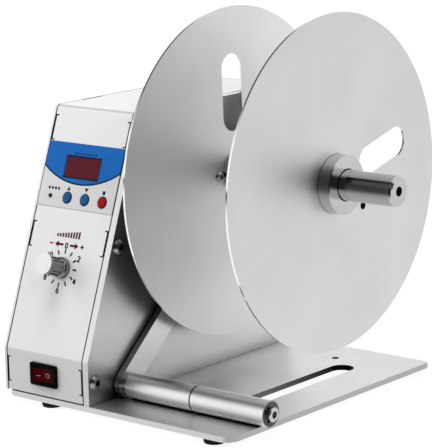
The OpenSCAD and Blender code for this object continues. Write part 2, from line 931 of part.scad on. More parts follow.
module push_button(x, tone) {
    color(tone)
        on_panel(x, key_s) {
            under = -sheet_t - 0.1 - key_flange_t;
            stem_end = board_h0 + key_sw_h + key_travel + 0.1;
            translate([0, 0, under])
                cylinder(d = key_d, h = overlay_t + key_out - 0.4 - under);
            translate([0, 0, overlay_t + key_out - 0.4])
                cylinder(d1 = key_d, d2 = key_d - 1.2, h = 0.4);
            translate([0, 0, under])
                cylinder(d = key_d + 2 * key_flange_out, h = key_flange_t);
            translate([0, 0, stem_end]) cylinder(d = 3, h = under - stem_end);
        }
}

module button_left() { push_button(key_x[0], "steelblue"); }
module button_middle() { push_button(key_x[1], "steelblue"); }
module button_right() { push_button(key_x[2], "crimson"); }

// Stand-offs of the display board, then of the control board
standoff_x = [mid_x - board_w / 2 + board_edge, mid_x + board_w / 2 - board_edge];
standoff_s = [board_s0 + board_edge, board_s1 - board_edge];
function standoff_places_left() = [
    for (y = [ctrl_y0 + board_edge, ctrl_y0 + ctrl_w - board_edge],
         z = [ctrl_z0 + board_edge, ctrl_z0 + ctrl_h - board_edge]) [y, z]];

module board_standoffs() {
    color("gold") {
        for (x = standoff_x, s = standoff_s)
            on_panel(x, s, board_h0)
                cylinder(d = standoff_d, h = -sheet_t - board_h0, $fn = 6);
        for (p = standoff_places_left())
            translate([left_in, p[0], p[1]])
                rotate([0, 90, 0]) cylinder(d = standoff_d, h = ctrl_off, $fn = 6);
    }
}

module control_board() {
    color("darkgreen")
        translate([left_in + ctrl_off, ctrl_y0, ctrl_z0]) {
            cube([board_t, ctrl_w, ctrl_h]);
            // Heat-sink block, relay and capacitors on the board's face
            translate([board_t, sink_at.x, sink_at.y]) cube(sink_size);
            translate([board_t, relay_at.x, relay_at.y]) cube(relay_size);
            for (z = cap_z)
                translate([board_t, ctrl_w / 2, z])
                    rotate([0, 90, 0]) cylinder(d = cap_d, h = cap_l);
        }
}

module potentiometer() {
    color("gray")
        difference() {
            on_panel(mid_x, knob_s, -sheet_t - pot_body_l) {
                cylinder(d = pot_body_d, h = pot_body_l);
                cylinder(d = pot_bush_d, h = pot_body_l + sheet_t + pot_bush_l);
                translate([-6, -pot_body_d / 2 - 5, 1]) cube([12, 8, 1.5]);
            }
            on_panel(mid_x, knob_s, -sheet_t - pot_body_l + 2)
                cylinder(d = pot_shaft_d + 2 * run_gap, h = pot_body_l + sheet_t + pot_bush_l);
        }
}

module potentiometer_nut() {
    color("silver")
        on_panel(mid_x, knob_s)
            difference() {
                cylinder(d = pot_nut_d, h = pot_nut_t, $fn = 6);
                translate([0, 0, -eps])
                    cylinder(d = pot_bush_d + 2 * seat_gap, h = pot_nut_t + 2 * eps);
            }
}

module control_shaft() {
    color("silver")
        on_panel(mid_x, knob_s, -sheet_t - pot_body_l + 2 + free_gap)
            cylinder(d = pot_shaft_d, h = pot_shaft_out + sheet_t + pot_body_l - 2 - free_gap);
}

module speed_knob() {
    waist_d = knob_d - 1.6;
    skirt_l = 3.2;
    flare_l = 4.2;
    color("lightgray")
        on_panel(mid_x, knob_s)
            difference() {
                rotate_extrude()
                    polygon([[0, knob_gap], [knob_d / 2, knob_gap],
                        [knob_d / 2, skirt_l], [waist_d / 2, skirt_l + 0.8],
                        [waist_d / 2, knob_h - flare_l],
                        [knob_front_d / 2, knob_h - 0.8],
                        [knob_front_d / 2, knob_h], [0, knob_h]]);
                translate([0, 0, knob_gap - eps])
                    cylinder(d = knob_recess_d, h = knob_recess_l + eps - knob_gap);
                cylinder(d = pot_shaft_d + 2 * seat_gap, h = pot_shaft_out + 1);
                for (i = [0:knob_flutes - 1])
                    rotate([0, 0, i * 360 / knob_flutes])
                        translate([waist_d / 2 - 0.8, -1, skirt_l + 1.4])
                            cube([2, 2, knob_h - flare_l - skirt_l - 2]);
            }
}

// Rocker switch, seen from the front: X across, Y up, Z outwards
module switch_bezel() {
    frame_w = bezel_w - 2 * bezel_frame;
    frame_h = bezel_h - 2 * bezel_frame + 1;
    color("black")
        difference() {
            on_front(mid_x, switch_h) {
                linear_extrude(bezel_t)
                    polygon(rounded(
                        [[-bezel_w / 2, -bezel_h / 2], [bezel_w / 2, -bezel_h / 2],
                         [bezel_w / 2, bezel_h / 2], [-bezel_w / 2, bezel_h / 2]],
                        [1.2, 1.2, 1.2, 1.2], 4));
                block(bezel_w - 3, bezel_h - 3, -switch_body_l, eps);
                for (s = [-1, 1])
                    translate([s * 6, 0, 0]) block(0.8, 4.8, -switch_body_l - 8, 1 - switch_body_l);
            }
            on_front(mid_x, switch_h)
                block(frame_w, frame_h, bezel_t - rocker_axis_in - rocker_r - 1, bezel_t + eps);
        }
}

module rocker() {
    // Shallow V about the rocker's axis, leaning to the side that is pressed
    rise = rocker_face / cos(rocker_tilt);
    wing = tan(rocker_tilt) * rocker_r;
    height = bezel_h - 2 * bezel_frame + 1 - 2 * free_gap;
    color("firebrick")
        on_front(mid_x, switch_h, bezel_t - rocker_axis_in)
            rotate([90, 0, 0])
                translate([0, 0, -height / 2])
                    rotate([0, 0, -rocker_tilt])
                        linear_extrude(height)
                            intersection() {
                                circle(r = rocker_r);
                                polygon([[-rocker_r, -rocker_r * 0.6], [rocker_r, -rocker_r * 0.6],
                                    [rocker_r, rise + wing], [0, rise], [-rocker_r, rise + wing]]);
                            }
}

module power_inlet() {
    color("black")
        translate([mid_x, rear_y, inlet_z])
            rotate([-90, 0, 0]) {
                difference() {
                    union() {
                        block(inlet_w + 2 * inlet_rim, inlet_h + 2 * inlet_rim, 0, inlet_rim_t);
                        block(inlet_w, inlet_h, -inlet_l, eps);
                    }
                    block(inlet_w - 2 * inlet_wall, inlet_h - 2 * inlet_wall,
                        inlet_rim_t - inlet_deep, inlet_rim_t + eps);
                }
                for (p = [[-7, 2], [0, -2], [7, 2]])
                    translate([p[0], p[1], 0])
                        block(2, 4, inlet_rim_t - inlet_deep - 1, inlet_rim_t - inlet_pin_in);
            }
}

module power_supply() {
    color("silver")
        difference() {
            translate([psu_x0, psu_y0, top_z]) cube([psu_w, psu_l, psu_h]);
            for (i = [0:6])
                translate([psu_x0 + 8, psu_y0 + 14 + i * 8, top_z + psu_h - 1])
                    cube([psu_w - 16, 3, 2]);
            base_screw_holes();
        }
}

module bearing_housing() {
    tube_l = housing_l + plate_t;
    land_d = bearing_d - 8;
    color("slategray")
        difference() {
            union() {
                rod(housing_x0, axis_y, axis_z, housing_d, tube_l);
                rod(wall_in - housing_flange_t, axis_y, axis_z, housing_flange_d, housing_flange_t);
            }
            rod(housing_x0 - eps, axis_y, axis_z, land_d, tube_l + 2 * eps);
            rod(housing_x0 - eps, axis_y, axis_z, bearing_d + 2 * seat_gap,
                bearing_in + bearing_w + eps);
            rod(wall_x - bearing_in - bearing_w, axis_y, axis_z, bearing_d + 2 * seat_gap,
                bearing_in + bearing_w + eps);
            for (i = [0:3])
                on_axis(45 + 90 * i)
                    rod(wall_in - housing_flange_t - eps, housing_screw_r, 0,
                        housing_screw_d + 2 * seat_gap, housing_flange_t + 2 * eps);
        }
}

module housing_screws() {
    color("silver")
        for (i = [0:3])
            on_axis(45 + 90 * i)
                translate([wall_in - housing_flange_t, housing_screw_r, 0])
                    rotate([0, -90, 0])
                        button_screw(housing_screw_d, housing_flange_t + housing_screw_bite - 0.5,
                            8.4, 2.7, 3);
}

// Bearing with its shield set back between the two races
module bearing(x) {
    race = 4;
    color("silver")
        difference() {
            axis_ring(x, bearing_d, journal_d + 2 * run_gap, bearing_w);
            for (end = [x - eps, x + bearing_w - 0.6])
                axis_ring(end, bearing_d - 2 * race, journal_d + 2 * race, 0.6 + eps);
        }
}

module front_bearing() { bearing(wall_x - bearing_in - bearing_w); }
module rear_bearing() { bearing(housing_x0 + bearing_in); }

module spindle_shaft() {
    shoulder_x = wall_x - bearing_in + race_gap;
    key_x0 = outer_x + collar_l + key_margin;
    color("silver")
        difference() {
            union() {
                rod(pulley_x0, axis_y, axis_z, journal_d, shoulder_x - pulley_x0 + eps);
                rod(shoulder_x, axis_y, axis_z, spindle_d, tip_x - tip_chamfer - shoulder_x);
                translate([tip_x - tip_chamfer, axis_y, axis_z])
                    rotate([0, 90, 0])
                        cylinder(d1 = spindle_d, d2 = spindle_d - 2 * tip_chamfer, h = tip_chamfer);
            }
            rod(tip_x - centre_l, axis_y, axis_z, centre_d, centre_l + eps);
            on_axis(keyway_turn)
                translate([key_x0, spindle_d / 2 - key_deep, -key_w / 2])
                    cube([tip_x - key_x0 + eps, key_deep + eps, key_w]);
        }
}

// Clamp disc with its slot pointing along its direction
module clamp_disc(x_front, turn) {
    difference() {
        rod(x_front - disc_t, axis_y, axis_z, disc_d, disc_t, $fn = 144);
        rod(x_front - disc_t - eps, axis_y, axis_z, boss_d + 2 * seat_gap, disc_t + 2 * eps);
        on_axis(turn) {
            translate([x_front - disc_t - eps, (finger_r0 + finger_r1) / 2, 0])
                rotate([0, 90, 0])
                    long_slot(finger_w, finger_r1 - finger_r0, disc_t + 2 * eps);
            rotate([-pin_hole_turn, 0, 0])
                rod(x_front - disc_t - eps, pin_hole_r, 0, pin_hole_d, disc_t + 2 * eps);
        }
        disc_screw_rods(turn, x_front - disc_t - eps, disc_t + 2 * eps);
    }
}

module disc_screw_rods(turn, x, l) {
    for (i = [0:2])
        on_axis(turn + disc_screw_turn + 120 * i)
            rod(x, disc_screw_r, 0, small_d + 2 * seat_gap, l);
}

module inner_disc() { color("silver") clamp_disc(disc_x, inner_turn); }
module outer_disc() { color("lightgray") clamp_disc(outer_x, outer_turn); }

module inner_hub() {
    back_x = disc_x - disc_t;
    hub_x0 = wall_x + 2;
    color("gray")
        difference() {
            union() {
                rod(hub_x0, axis_y, axis_z, hub_d, back_x - hub_x0);
                rod(back_x - hub_flange_t, axis_y, axis_z, hub_flange_d, hub_flange_t);
                rod(back_x - eps, axis_y, axis_z, boss_d, disc_t + boss_out + eps);
            }
            rod(hub_x0 - eps, axis_y, axis_z, spindle_d + 2 * seat_gap, stand + boss_out + eps);
            disc_screw_rods(inner_turn, back_x - hub_flange_t - eps, hub_flange_t + 2 * eps);
        }
}

module inner_disc_screws() {
    color("silver")
        for (i = [0:2])
            on_axis(inner_turn + disc_screw_turn + 120 * i)
                translate([disc_x, disc_screw_r, 0])
                    rotate([0, 90, 0])
                        button_screw(small_d, disc_t + hub_flange_t - 0.5,
                            small_head_d, small_head_h, small_socket);
}

module outer_collar() {
    rim = 0.6;
    bore_d = spindle_d + 2 * run_gap;
    color("lightgray")
        difference() {
            union() {
                rod(outer_x - disc_t, axis_y, axis_z, boss_d, disc_t + eps);
                rod(outer_x, axis_y, axis_z, collar_d, collar_l - rim);
                translate([outer_x + collar_l - rim, axis_y, axis_z])
                    rotate([0, 90, 0])
                        cylinder(d1 = collar_d, d2 = collar_d - 2 * rim, h = rim);
            }
            rod(outer_x - disc_t - eps, axis_y, axis_z, bore_d, disc_t + collar_l + 2 * eps);
            translate([outer_x + collar_l - rim, axis_y, axis_z])
                rotate([0, 90, 0])
                    cylinder(d1 = bore_d, d2 = bore_d + 2 * rim + 2 * eps, h = rim + eps);
            disc_screw_rods(outer_turn, outer_x - eps, disc_screw_bite + free_gap + eps);
            on_axis(collar_screw_turn)
                translate([outer_x + collar_l / 2, 0, 0])
                    rotate([-90, 0, 0]) cylinder(d = side_screw_d + 2 * seat_gap, h = collar_d);
        }
}

module outer_disc_screws() {
    color("silver")
        for (i = [0:2])
            on_axis(outer_turn + disc_screw_turn + 120 * i)
                translate([outer_x - disc_t, disc_screw_r, 0])
                    rotate([0, -90, 0])
                        button_screw(small_d, disc_t + disc_screw_bite,
                            small_head_d, small_head_h, small_socket);
}

module collar_set_screw() {
    tip_r = spindle_d / 2 + 0.2;
    color("dimgray")
        on_axis(collar_screw_turn)
            translate([outer_x + collar_l / 2, tip_r, 0])
                rotate([-90, 0, 0])
                    difference() {
                        cylinder(d = side_screw_d, h = collar_d / 2 - tip_r - 0.8);
                        translate([0, 0, 4])
                            cylinder(d = 3 * 2 / sqrt(3), h = collar_d / 2, $fn = 6);
                    }
}

// Flanged belt pulley along X, with its hub to the right
module pulley(y, z, r, bore, hub_d) {
    difference() {
        union() {
            rod(pulley_x0, y, z, 2 * r, pulley_w);
            for (x = [pulley_x0, pulley_x1 - pulley_rim])
                rod(x, y, z, 2 * (r + belt_t + 1.2), pulley_rim);
            rod(pulley_x1 - eps, y, z, hub_d, pulley_hub_l + eps);
        }
        rod(pulley_x0 - eps, y, z, bore, pulley_w + pulley_hub_l + 2 * eps);
    }
}

module spindle_pulley() {
    color("gray") pulley(axis_y, axis_z, pulley_r, journal_d + 2 * seat_gap, journal_d + 12);
}

module motor_pulley() {
    color("gray")
        difference() {
            rod(pulley_x0, motor_y, motor_z, 2 * pinion_r, pulley_w);
            rod(pulley_x0 - eps, motor_y, motor_z, motor_shaft_d + 2 * seat_gap, pulley_w + 2 * eps);
        }
    color("gray")
        for (x = [pulley_x0, pulley_x1 - pulley_rim])
            difference() {
                rod(x, motor_y, motor_z, 2 * (pinion_r + belt_t + 1.2), pulley_rim);
                rod(x - eps, motor_y, motor_z, 2 * pinion_r - 2, pulley_rim + 2 * eps);
            }
}

module motor_shaft() {
    shaft_x1 = bracket_x + bracket_t + 6;
    color("silver")
        rod(pulley_x0, motor_y, motor_z, motor_shaft_d, shaft_x1 - pulley_x0);
}

module drive_belt() {
    c1 = [axis_y, axis_z];
    c2 = [motor_y, motor_z];
    color("black")
        translate([pulley_x0 + pulley_rim + belt_side, 0, 0])
            rotate([90, 0, 90])
                linear_extrude(belt_w)
                    difference() {
                        polygon(loop_points(c1, pulley_r + free_gap + belt_t,
                            c2, pinion_r + free_gap + belt_t));
                        polygon(loop_points(c1, pulley_r + free_gap, c2, pinion_r + free_gap));
                    }
}

module motor_bracket() {
    color("silver")
        difference() {
            union() {
                translate([bracket_x, motor_y - bracket_w / 2, top_z])
                    cube([bracket_t, bracket_w, motor_z + gearbox_d / 2 + 4 - top_z]);
                translate([bracket_x, motor_y - bracket_w / 2, top_z])
                    cube([bracket_t + bracket_foot_l, bracket_w, bracket_t]);
            }
            rod(bracket_x - eps, motor_y, motor_z, motor_boss_d + 2 * seat_gap, bracket_t + 2 * eps);
            motor_screw_rods(bracket_x - eps, bracket_t + 2 * eps);
            base_screw_holes();
        }
}

module motor_screw_rods(x, l) {
    for (t = [0:90:270])
        translate([0, motor_y, motor_z])
            rotate([t, 0, 0])
                rod(x, motor_screw_r, 0, motor_screw_d + 2 * seat_gap, l);
}

module gear_motor() {
    body_x = bracket_x + bracket_t;
    color("dimgray")
        difference() {
            union() {
                rod(bracket_x, motor_y, motor_z, motor_boss_d, bracket_t + eps);
                rod(body_x, motor_y, motor_z, gearbox_d, gearbox_l);
                rod(body_x + gearbox_l - eps, motor_y, motor_z, can_d, can_l + eps);
            }
            rod(bracket_x - eps, motor_y, motor_z, motor_shaft_d + 2 * run_gap,
                bracket_t + motor_bore_l + eps);
            motor_screw_rods(body_x - eps, motor_screw_bite + 2 * eps);
        }
}

module motor_screws() {
    color("silver")
        for (t = [0:90:270])
            translate([bracket_x, motor_y, motor_z])
                rotate([t, 0, 0])
                    translate([0, motor_screw_r, 0])
                        rotate([0, -90, 0])
                            button_screw(motor_screw_d, bracket_t + motor_screw_bite, motor_head_d,
                                motor_head_h, motor_socket);
}

// Sets children on the arm: their Y runs from the pivot to the roller
module on_arm(raise = 0) {
    translate([0, pivot_y, pivot_z])
        rotate([180 + arm_rise - raise, 0, 0]) children();
}

module tension_arm() {
    color("silver")
        difference() {
            on_arm() {
                translate([arm_x, 0, -arm_w / 2]) cube([arm_t, arm_l, arm_w]);
                rod(arm_x, arm_l, 0, arm_w, arm_t);
                rod(arm_x, 0, 0, 2 * pivot_r, arm_t);
            }
            on_arm() {
                rod(arm_x - eps, 0, 0, arm_shaft_d + 2 * seat_gap, arm_t + 2 * eps);
                rod(arm_x - eps, arm_l, 0, axle_d + 2 * seat_gap, arm_t + 2 * eps);
            }
        }
}

module arm_shaft() {
    x0 = wall_in - arm_shaft_in;
    x1 = arm_x + arm_t;
    color("silver")
        difference() {
            rod(x0, pivot_y, pivot_z, arm_shaft_d, x1 - x0);
            rod(x1 - arm_screw_l, pivot_y, pivot_z, arm_screw_d + 2 * seat_gap, arm_screw_l + eps);
        }
}

module arm_screw() {
    color("silver")
        translate([arm_x + arm_t, pivot_y, pivot_z])
            rotate([0, 90, 0])
                button_screw(arm_screw_d, arm_screw_l - 1, arm_head_d, arm_head_h, 3);
}

module arm_bush() {
    color("darkgoldenrod")
        difference() {
            union() {
                rod(wall_in - bush_in, pivot_y, pivot_z, bush_d, bush_in + plate_t + eps);
                rod(wall_x, pivot_y, pivot_z, bush_flange_d, arm_gap - free_gap);
            }
            rod(wall_in - bush_in - eps, pivot_y, pivot_z, arm_shaft_d + 2 * run_gap,
                bush_in + plate_t + arm_gap + 2 * eps);
        }
}

vane_x1 = wall_in - bush_in - free_gap;
vane_mid = vane_x1 - vane_hub_l + vane_t / 2;

module sensor_vane() {
    color("black")
        on_arm()
            difference() {
                union() {
                    rod(vane_x1 - vane_hub_l, 0, 0, vane_hub_d, vane_hub_l);
                    translate([vane_mid - vane_t / 2, 0, 0])
                        rotate([90, 0, 90])
                            linear_extrude(vane_t)
                                polygon(concat([[0, 0]], [for (i = [0:8])
                                    let (t = vane_half * (i / 4 - 1))
                                    vane_r * [cos(t), sin(t)]]));
                }
                rod(vane_x1 - vane_hub_l - eps, 0, 0, arm_shaft_d + 2 * seat_gap, vane_hub_l + 2 * eps);
            }
}

module arm_sensor() {
    color("black")
        on_arm(arm_swing)
            difference() {
                translate([vane_mid - sensor_slot / 2 - 4, sensor_r0, -sensor_w / 2])
                    cube([wall_in - vane_mid + sensor_slot / 2 + 4, sensor_r1 - sensor_r0, sensor_w]);
                translate([vane_mid - sensor_slot / 2, sensor_r0 - eps, -sensor_w / 2 - eps])
                    cube([sensor_slot, sensor_r1 - sensor_r0 - sensor_web + eps, sensor_w + 2 * eps]);
            }
}

// Lower stop under the resting arm, upper stop over the raised arm
module arm_stop_rods(d, x, l) {
    on_arm() rod(x, stop_l, stop_off, d, l);
    on_arm(arm_swing) rod(x, stop_l, -stop_off, d, l);
}

module arm_stops() {
    color("gray") arm_stop_rods(stop_d, wall_in, plate_t + arm_gap + arm_t);
}

module roller_axle() {
    x1 = roller_x3 + axle_out;
    color("silver")
        difference() {
            union() {
                rod(arm_x, roller_y, roller_z, axle_d, x1 - arm_x - 0.6);
                rod(arm_x + arm_t, roller_y, roller_z, axle_shoulder_d, axle_shoulder_l);
                translate([x1 - 0.6, roller_y, roller_z])
                    rotate([0, 90, 0]) cylinder(d1 = axle_d, d2 = axle_d - 1.2, h = 0.6);
            }
            rod(x1 - axle_hole_l, roller_y, roller_z, axle_hole_d, axle_hole_l + eps);
            difference() {
                rod(clip_x, roller_y, roller_z, axle_d + 2, clip_t + 0.1);
                rod(clip_x - eps, roller_y, roller_z, axle_d - 2 * clip_groove, clip_t + 2 * eps);
            }
        }
}

clip_x = roller_x3 - roller_recess_l + free_gap;

module roller_clip() {
    prong = 2.6;
    color("silver")
        translate([clip_x + 0.05, roller_y, roller_z])
            rotate([0, 90, 0])
                difference() {
                    cylinder(d = clip_d, h = clip_t);
                    translate([0, 0, -eps])
                        cylinder(d = axle_d - 2 * clip_groove + 2 * seat_gap, h = clip_t + 2 * eps);
                    // Mouth of the clip, and the two gaps beside its middle prong
                    translate([-axle_d * 0.36, 0, -eps])
                        cube([axle_d * 0.72, clip_d, clip_t + 2 * eps]);
                    for (t = [-150, -30])
                        rotate([0, 0, t])
                            translate([axle_d / 2 - 1, -prong / 2, -eps])
                                cube([2.2, prong, clip_t + 2 * eps]);
                }
}

module roller_washer(x) {
    difference() {
        rod(x, roller_y, roller_z, roller_washer_d, washer_t);
        rod(x - eps, roller_y, roller_z, axle_d + 2 * seat_gap, washer_t + 2 * eps);
    }
}

module roller_washers() {
    color("silver") {
        roller_washer(roller_x0 - free_gap - washer_t);
        roller_washer(roller_x1 + free_gap);
    }
}

module roller_sleeve(x, l) {
    difference() {
        rod(x, roller_y, roller_z, roller_d, l);
        rod(x - eps, roller_y, roller_z, axle_d + 2 * run_gap, l + 2 * eps);
    }
}

module inner_roller() { color("silver") roller_sleeve(roller_x0, roller_inner_l); }

module outer_roller() {
    color("silver")
        difference() {
            roller_sleeve(roller_x2, roller_outer_l);
            rod(roller_x3 - roller_recess_l, roller_y, roller_z, roller_recess_d, roller_recess_l + eps);
        }
}

base_plate();
rubber_feet();
base_screws();
right_side_plate();
left_side_plate();
front_cover();
rear_panel();
right_plate_screws();
left_plate_screws();
clinch_nuts();
panel_overlay();
display_window();
display_module();
display_board();
status_lamp();
key_switches();
board_standoffs();
control_board();
potentiometer();
potentiometer_nut();
switch_bezel();
power_inlet();
power_supply();
bearing_housing();
housing_screws();
front_bearing();
rear_bearing();
motor_bracket();
gear_motor();
motor_screws();
drive_belt();
arm_bush();
arm_stops();
arm_sensor();
spindle_shaft();
inner_hub();
inner_disc();
inner_disc_screws();
spindle_pulley();
outer_collar();
outer_disc();
outer_disc_screws();
collar_set_screw();
motor_shaft();
motor_pulley();
tension_arm();
arm_shaft();
arm_screw();
sensor_vane();
roller_axle();
roller_washers();
roller_clip();
inner_roller();
outer_roller();
speed_knob();
control_shaft();
rocker();
button_left();
button_middle();
button_right();
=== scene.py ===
# %% [markdown]
# # Dressing a label rewinder
# The machine winds a web of labels onto a driven spindle between two slotted
# discs. Its solids come from CAD as a fixed frame, so nothing here moves or
# reshapes them. This lesson adds what CAD leaves out: the camera of the
# photograph, the studio, the finishes, and the thin prints on the panel.

# %% Load the fixed frame
import json

import bpy
import numpy as np
from mathutils import Matrix, Vector


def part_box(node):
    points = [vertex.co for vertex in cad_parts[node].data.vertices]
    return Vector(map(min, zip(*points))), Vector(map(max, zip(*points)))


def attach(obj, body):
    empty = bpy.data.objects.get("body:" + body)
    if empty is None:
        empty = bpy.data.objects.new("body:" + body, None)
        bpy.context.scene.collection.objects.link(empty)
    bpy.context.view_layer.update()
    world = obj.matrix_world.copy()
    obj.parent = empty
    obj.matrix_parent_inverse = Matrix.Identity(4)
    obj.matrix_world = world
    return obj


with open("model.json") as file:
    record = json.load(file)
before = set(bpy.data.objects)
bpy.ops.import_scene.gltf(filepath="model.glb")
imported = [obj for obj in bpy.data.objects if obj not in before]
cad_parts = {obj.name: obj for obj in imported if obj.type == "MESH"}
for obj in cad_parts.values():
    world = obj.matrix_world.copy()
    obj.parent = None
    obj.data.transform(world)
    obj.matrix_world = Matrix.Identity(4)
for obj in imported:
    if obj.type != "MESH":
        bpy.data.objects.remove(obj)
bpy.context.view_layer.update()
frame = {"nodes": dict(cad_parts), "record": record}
scene = bpy.context.scene

# %% [markdown]
# ## Camera
# A long lens stands to the front right, a little above the discs. The eye
# and the three angles were solved from edges whose real places are known. We
# could aim with a Track To constraint, but the photograph is rolled by about
# one degree, so the three camera axes are written into its matrix.

# %% Place the camera
EYE = np.array([0.99115, -1.22100, 0.44943])
AZIMUTH, ELEVATION, ROLL = np.radians([39.8838, 11.8173, -1.3402])
SENSOR_MM, FOCAL_MM = 36.0, 186.4


def camera_axes(azimuth, elevation, roll):
    """Right, up and forward: forward from the two angles, then right and up turned about it by roll."""
    level = np.array([np.cos(azimuth), np.sin(azimuth), 0.0])
    forward = np.array([-np.sin(azimuth) * np.cos(elevation),
                        np.cos(azimuth) * np.cos(elevation), -np.sin(elevation)])
    above = np.cross(level, forward)
    right = np.cos(roll) * level + np.sin(roll) * above
    return right, np.cross(right, forward), forward


right, up, forward = camera_axes(AZIMUTH, ELEVATION, ROLL)
lens = bpy.data.cameras.new("photo_camera")
lens.sensor_fit = "HORIZONTAL"
lens.sensor_width = SENSOR_MM
lens.lens = FOCAL_MM
lens.clip_end = 30.0
camera = bpy.data.objects.new("photo_camera", lens)
camera.matrix_world = Matrix.Translation(EYE) @ Matrix(np.array([right, up, -forward]).T).to_4x4()
scene.collection.objects.link(camera)
scene.camera = camera
print("camera up axis", np.round(up, 3))

# %% [markdown]
# ## Building shader nodes
# Every finish below is a small node tree. Typing each link by hand is long,
# so one helper adds a node and fills its sockets: a value that comes from
# another node is linked, and a number or colour is set on the socket itself.

# %% Node helper
def fill(tree, made, sockets):
    """Links each named socket of a node to a value from another node, or sets it to a number or colour."""
    for key, value in sockets.items():
        if isinstance(value, bpy.types.NodeSocket):
            tree.links.new(value, made.inputs[key])
        else:
            made.inputs[key].default_value = value


def add(tree, kind, sockets=None, **settings):
    """Adds one shader node to a tree, with its settings, and fills the named sockets."""
    made = tree.nodes.new("ShaderNode" + kind)
    for key, value in settings.items():
        setattr(made, key, value)
    fill(tree, made, sockets or {})
    return made


def shade(code):
    """Linear colour of a printed six-digit code, by the standard display curve."""
    c = np.array([int(code[i:i + 2], 16) for i in (0, 2, 4)]) / 255
    return (*np.where(c > 0.04045, ((c + 0.055) / 1.055) ** 2.4, c / 12.92), 1.0)


print("mid grey is", np.round(shade("808080"), 3))

# %% [markdown]
# ## Sums inside a tree
# A mask says how much of something a point of a surface has, from 0 to 1. It
# is a sum that nodes do at every point. Each Math or Vector Math node does
# one operation, so two short helpers write such a node in one line, and the
# ones that come up often get a plain name.

# %% Sums and masks
def maths(tree, operation, first, second=0.0):
    """The number that an operation makes of one or two numbers."""
    return add(tree, "Math", {0: first, 1: second}, operation=operation).outputs[0]


def vectors(tree, operation, first, second=(0, 0, 0), result="Vector"):
    """What an operation makes of one or two vectors: a Vector, or a Value such as a length."""
    return add(tree, "VectorMath", {0: first, 1: second}, operation=operation).outputs[result]


def scaled(tree, value, low, high, first=0.0, last=1.0):
    """Carries a value from the span low to high onto the span first to last, held at the ends."""
    return add(tree, "MapRange", {"Value": value, "From Min": low, "From Max": high,
                                  "To Min": first, "To Max": last}).outputs["Result"]


def along(tree, vector, direction):
    """How far a vector reaches in a direction: their dot product."""
    return vectors(tree, "DOT_PRODUCT", vector, direction, "Value")


def either(tree, fac, first, second):
    """A number that is first where fac is 0 and second where fac is 1."""
    return add(tree, "Mix", {0: fac, 2: first, 3: second}).outputs[0]


def both(tree, first, second):
    """The product of two numbers: as a mask it is 1 only where both are."""
    return maths(tree, "MULTIPLY", first, second)


print("sums ready")

# %% [markdown]
# ## Studio
# The photograph has a clean white ground. A white floor under soft light
# would need more light than the object can take, so the floor and the world
# look white only to rays from the camera or from a shiny surface. Part of
# the floor's look is still plain diffuse, and that part keeps the shadow. Far
# from the machine, where the lamps reach less, the floor glows a little more.
# The polished metal also shows dark bands. The spindle mirrors the disc
# behind it, and the disc in turn mirrors the unlit place where the camera
# stands. The rollers mirror the unlit ceiling to the upper left. Shiny rays
# see those two dark patches, and the camera does not.

# %% White world
WHITE = (1.0, 1.0, 1.0, 1.0)
WORLD_FILL = 0.45


def ray_kinds(tree):
    """Two masks: 1 for camera rays, and 1 for glossy or transmission rays."""
    path = add(tree, "LightPath").outputs
    return path["Is Camera Ray"], maths(tree, "MAXIMUM", path["Is Glossy Ray"], path["Is Transmission Ray"])


def dark_patch(tree, looking, centre, rim, core, left):
    """1 away from the patch's centre, falling to left between the cosines rim and core."""
    return scaled(tree, along(tree, looking, Vector(centre).normalized()), rim, core, 1.0, left)


world = bpy.data.worlds.new("studio_white")
world.use_nodes = True
scene.world = world
sky = world.node_tree
to_camera, shiny = ray_kinds(sky)
looking = add(sky, "TexCoord").outputs["Generated"]
behind_camera = dark_patch(sky, looking, (0.63, -0.68, 0.30), 0.62, 0.84, 0.02)
ceiling = dark_patch(sky, looking, (-0.60, 0.0, 0.80), 0.70, 0.92, 0.10)
unlit = either(sky, shiny, WORLD_FILL, both(sky, behind_camera, ceiling))
fill(sky, sky.nodes["Background"], {"Color": WHITE, "Strength": either(sky, to_camera, unlit, 1.0)})
print("world ready")

# %% Floor
GROUND = (0.30, 0.30, 0.30, 1.0)
SHADOW_CATCH = (0.32, 0.32, 0.32, 1.0)
TO_FRONT = (0.64, -0.77, 0.0)
TABLE_END = (0.22, 0.50)
GLOW_SPAN, GLOW = (0.3, 1.2), (0.78, 0.94)
FLOOR_HALF = 9

floor_look = bpy.data.materials.new("studio_floor")
floor_look.use_nodes = True
tree = floor_look.node_tree
tree.nodes.clear()
to_camera, shiny = ray_kinds(tree)
place = add(tree, "TexCoord").outputs["Object"]
table = scaled(tree, along(tree, place, TO_FRONT), *TABLE_END, 1.0, 0.02)
far_off = vectors(tree, "LENGTH", place, result="Value")
ground = add(tree, "BsdfDiffuse", {"Color": GROUND})
mirrored = add(tree, "Emission", {"Color": WHITE, "Strength": table})
catch = add(tree, "BsdfDiffuse", {"Color": SHADOW_CATCH})
glow = add(tree, "Emission", {"Color": WHITE, "Strength": scaled(tree, far_off, *GLOW_SPAN, *GLOW)})
white = add(tree, "AddShader", {0: catch.outputs[0], 1: glow.outputs[0]})
unseen = add(tree, "MixShader", {0: shiny, 1: ground.outputs[0], 2: mirrored.outputs[0]})
mix = add(tree, "MixShader", {0: to_camera, 1: unseen.outputs[0], 2: white.outputs[0]})
add(tree, "OutputMaterial", {"Surface": mix.outputs[0]})

floor_mesh = bpy.data.meshes.new("studio_floor")
square = [(-1, -1), (1, -1), (1, 1), (-1, 1)]
floor_mesh.from_pydata([(x * FLOOR_HALF, y * FLOOR_HALF, 0) for x, y in square], [], [(0, 1, 2, 3)])
floor_mesh.materials.append(floor_look)
floor = bpy.data.objects.new("studio_floor", floor_mesh)
scene.collection.objects.link(floor)
print("floor of", floor.dimensions[:2], "m")

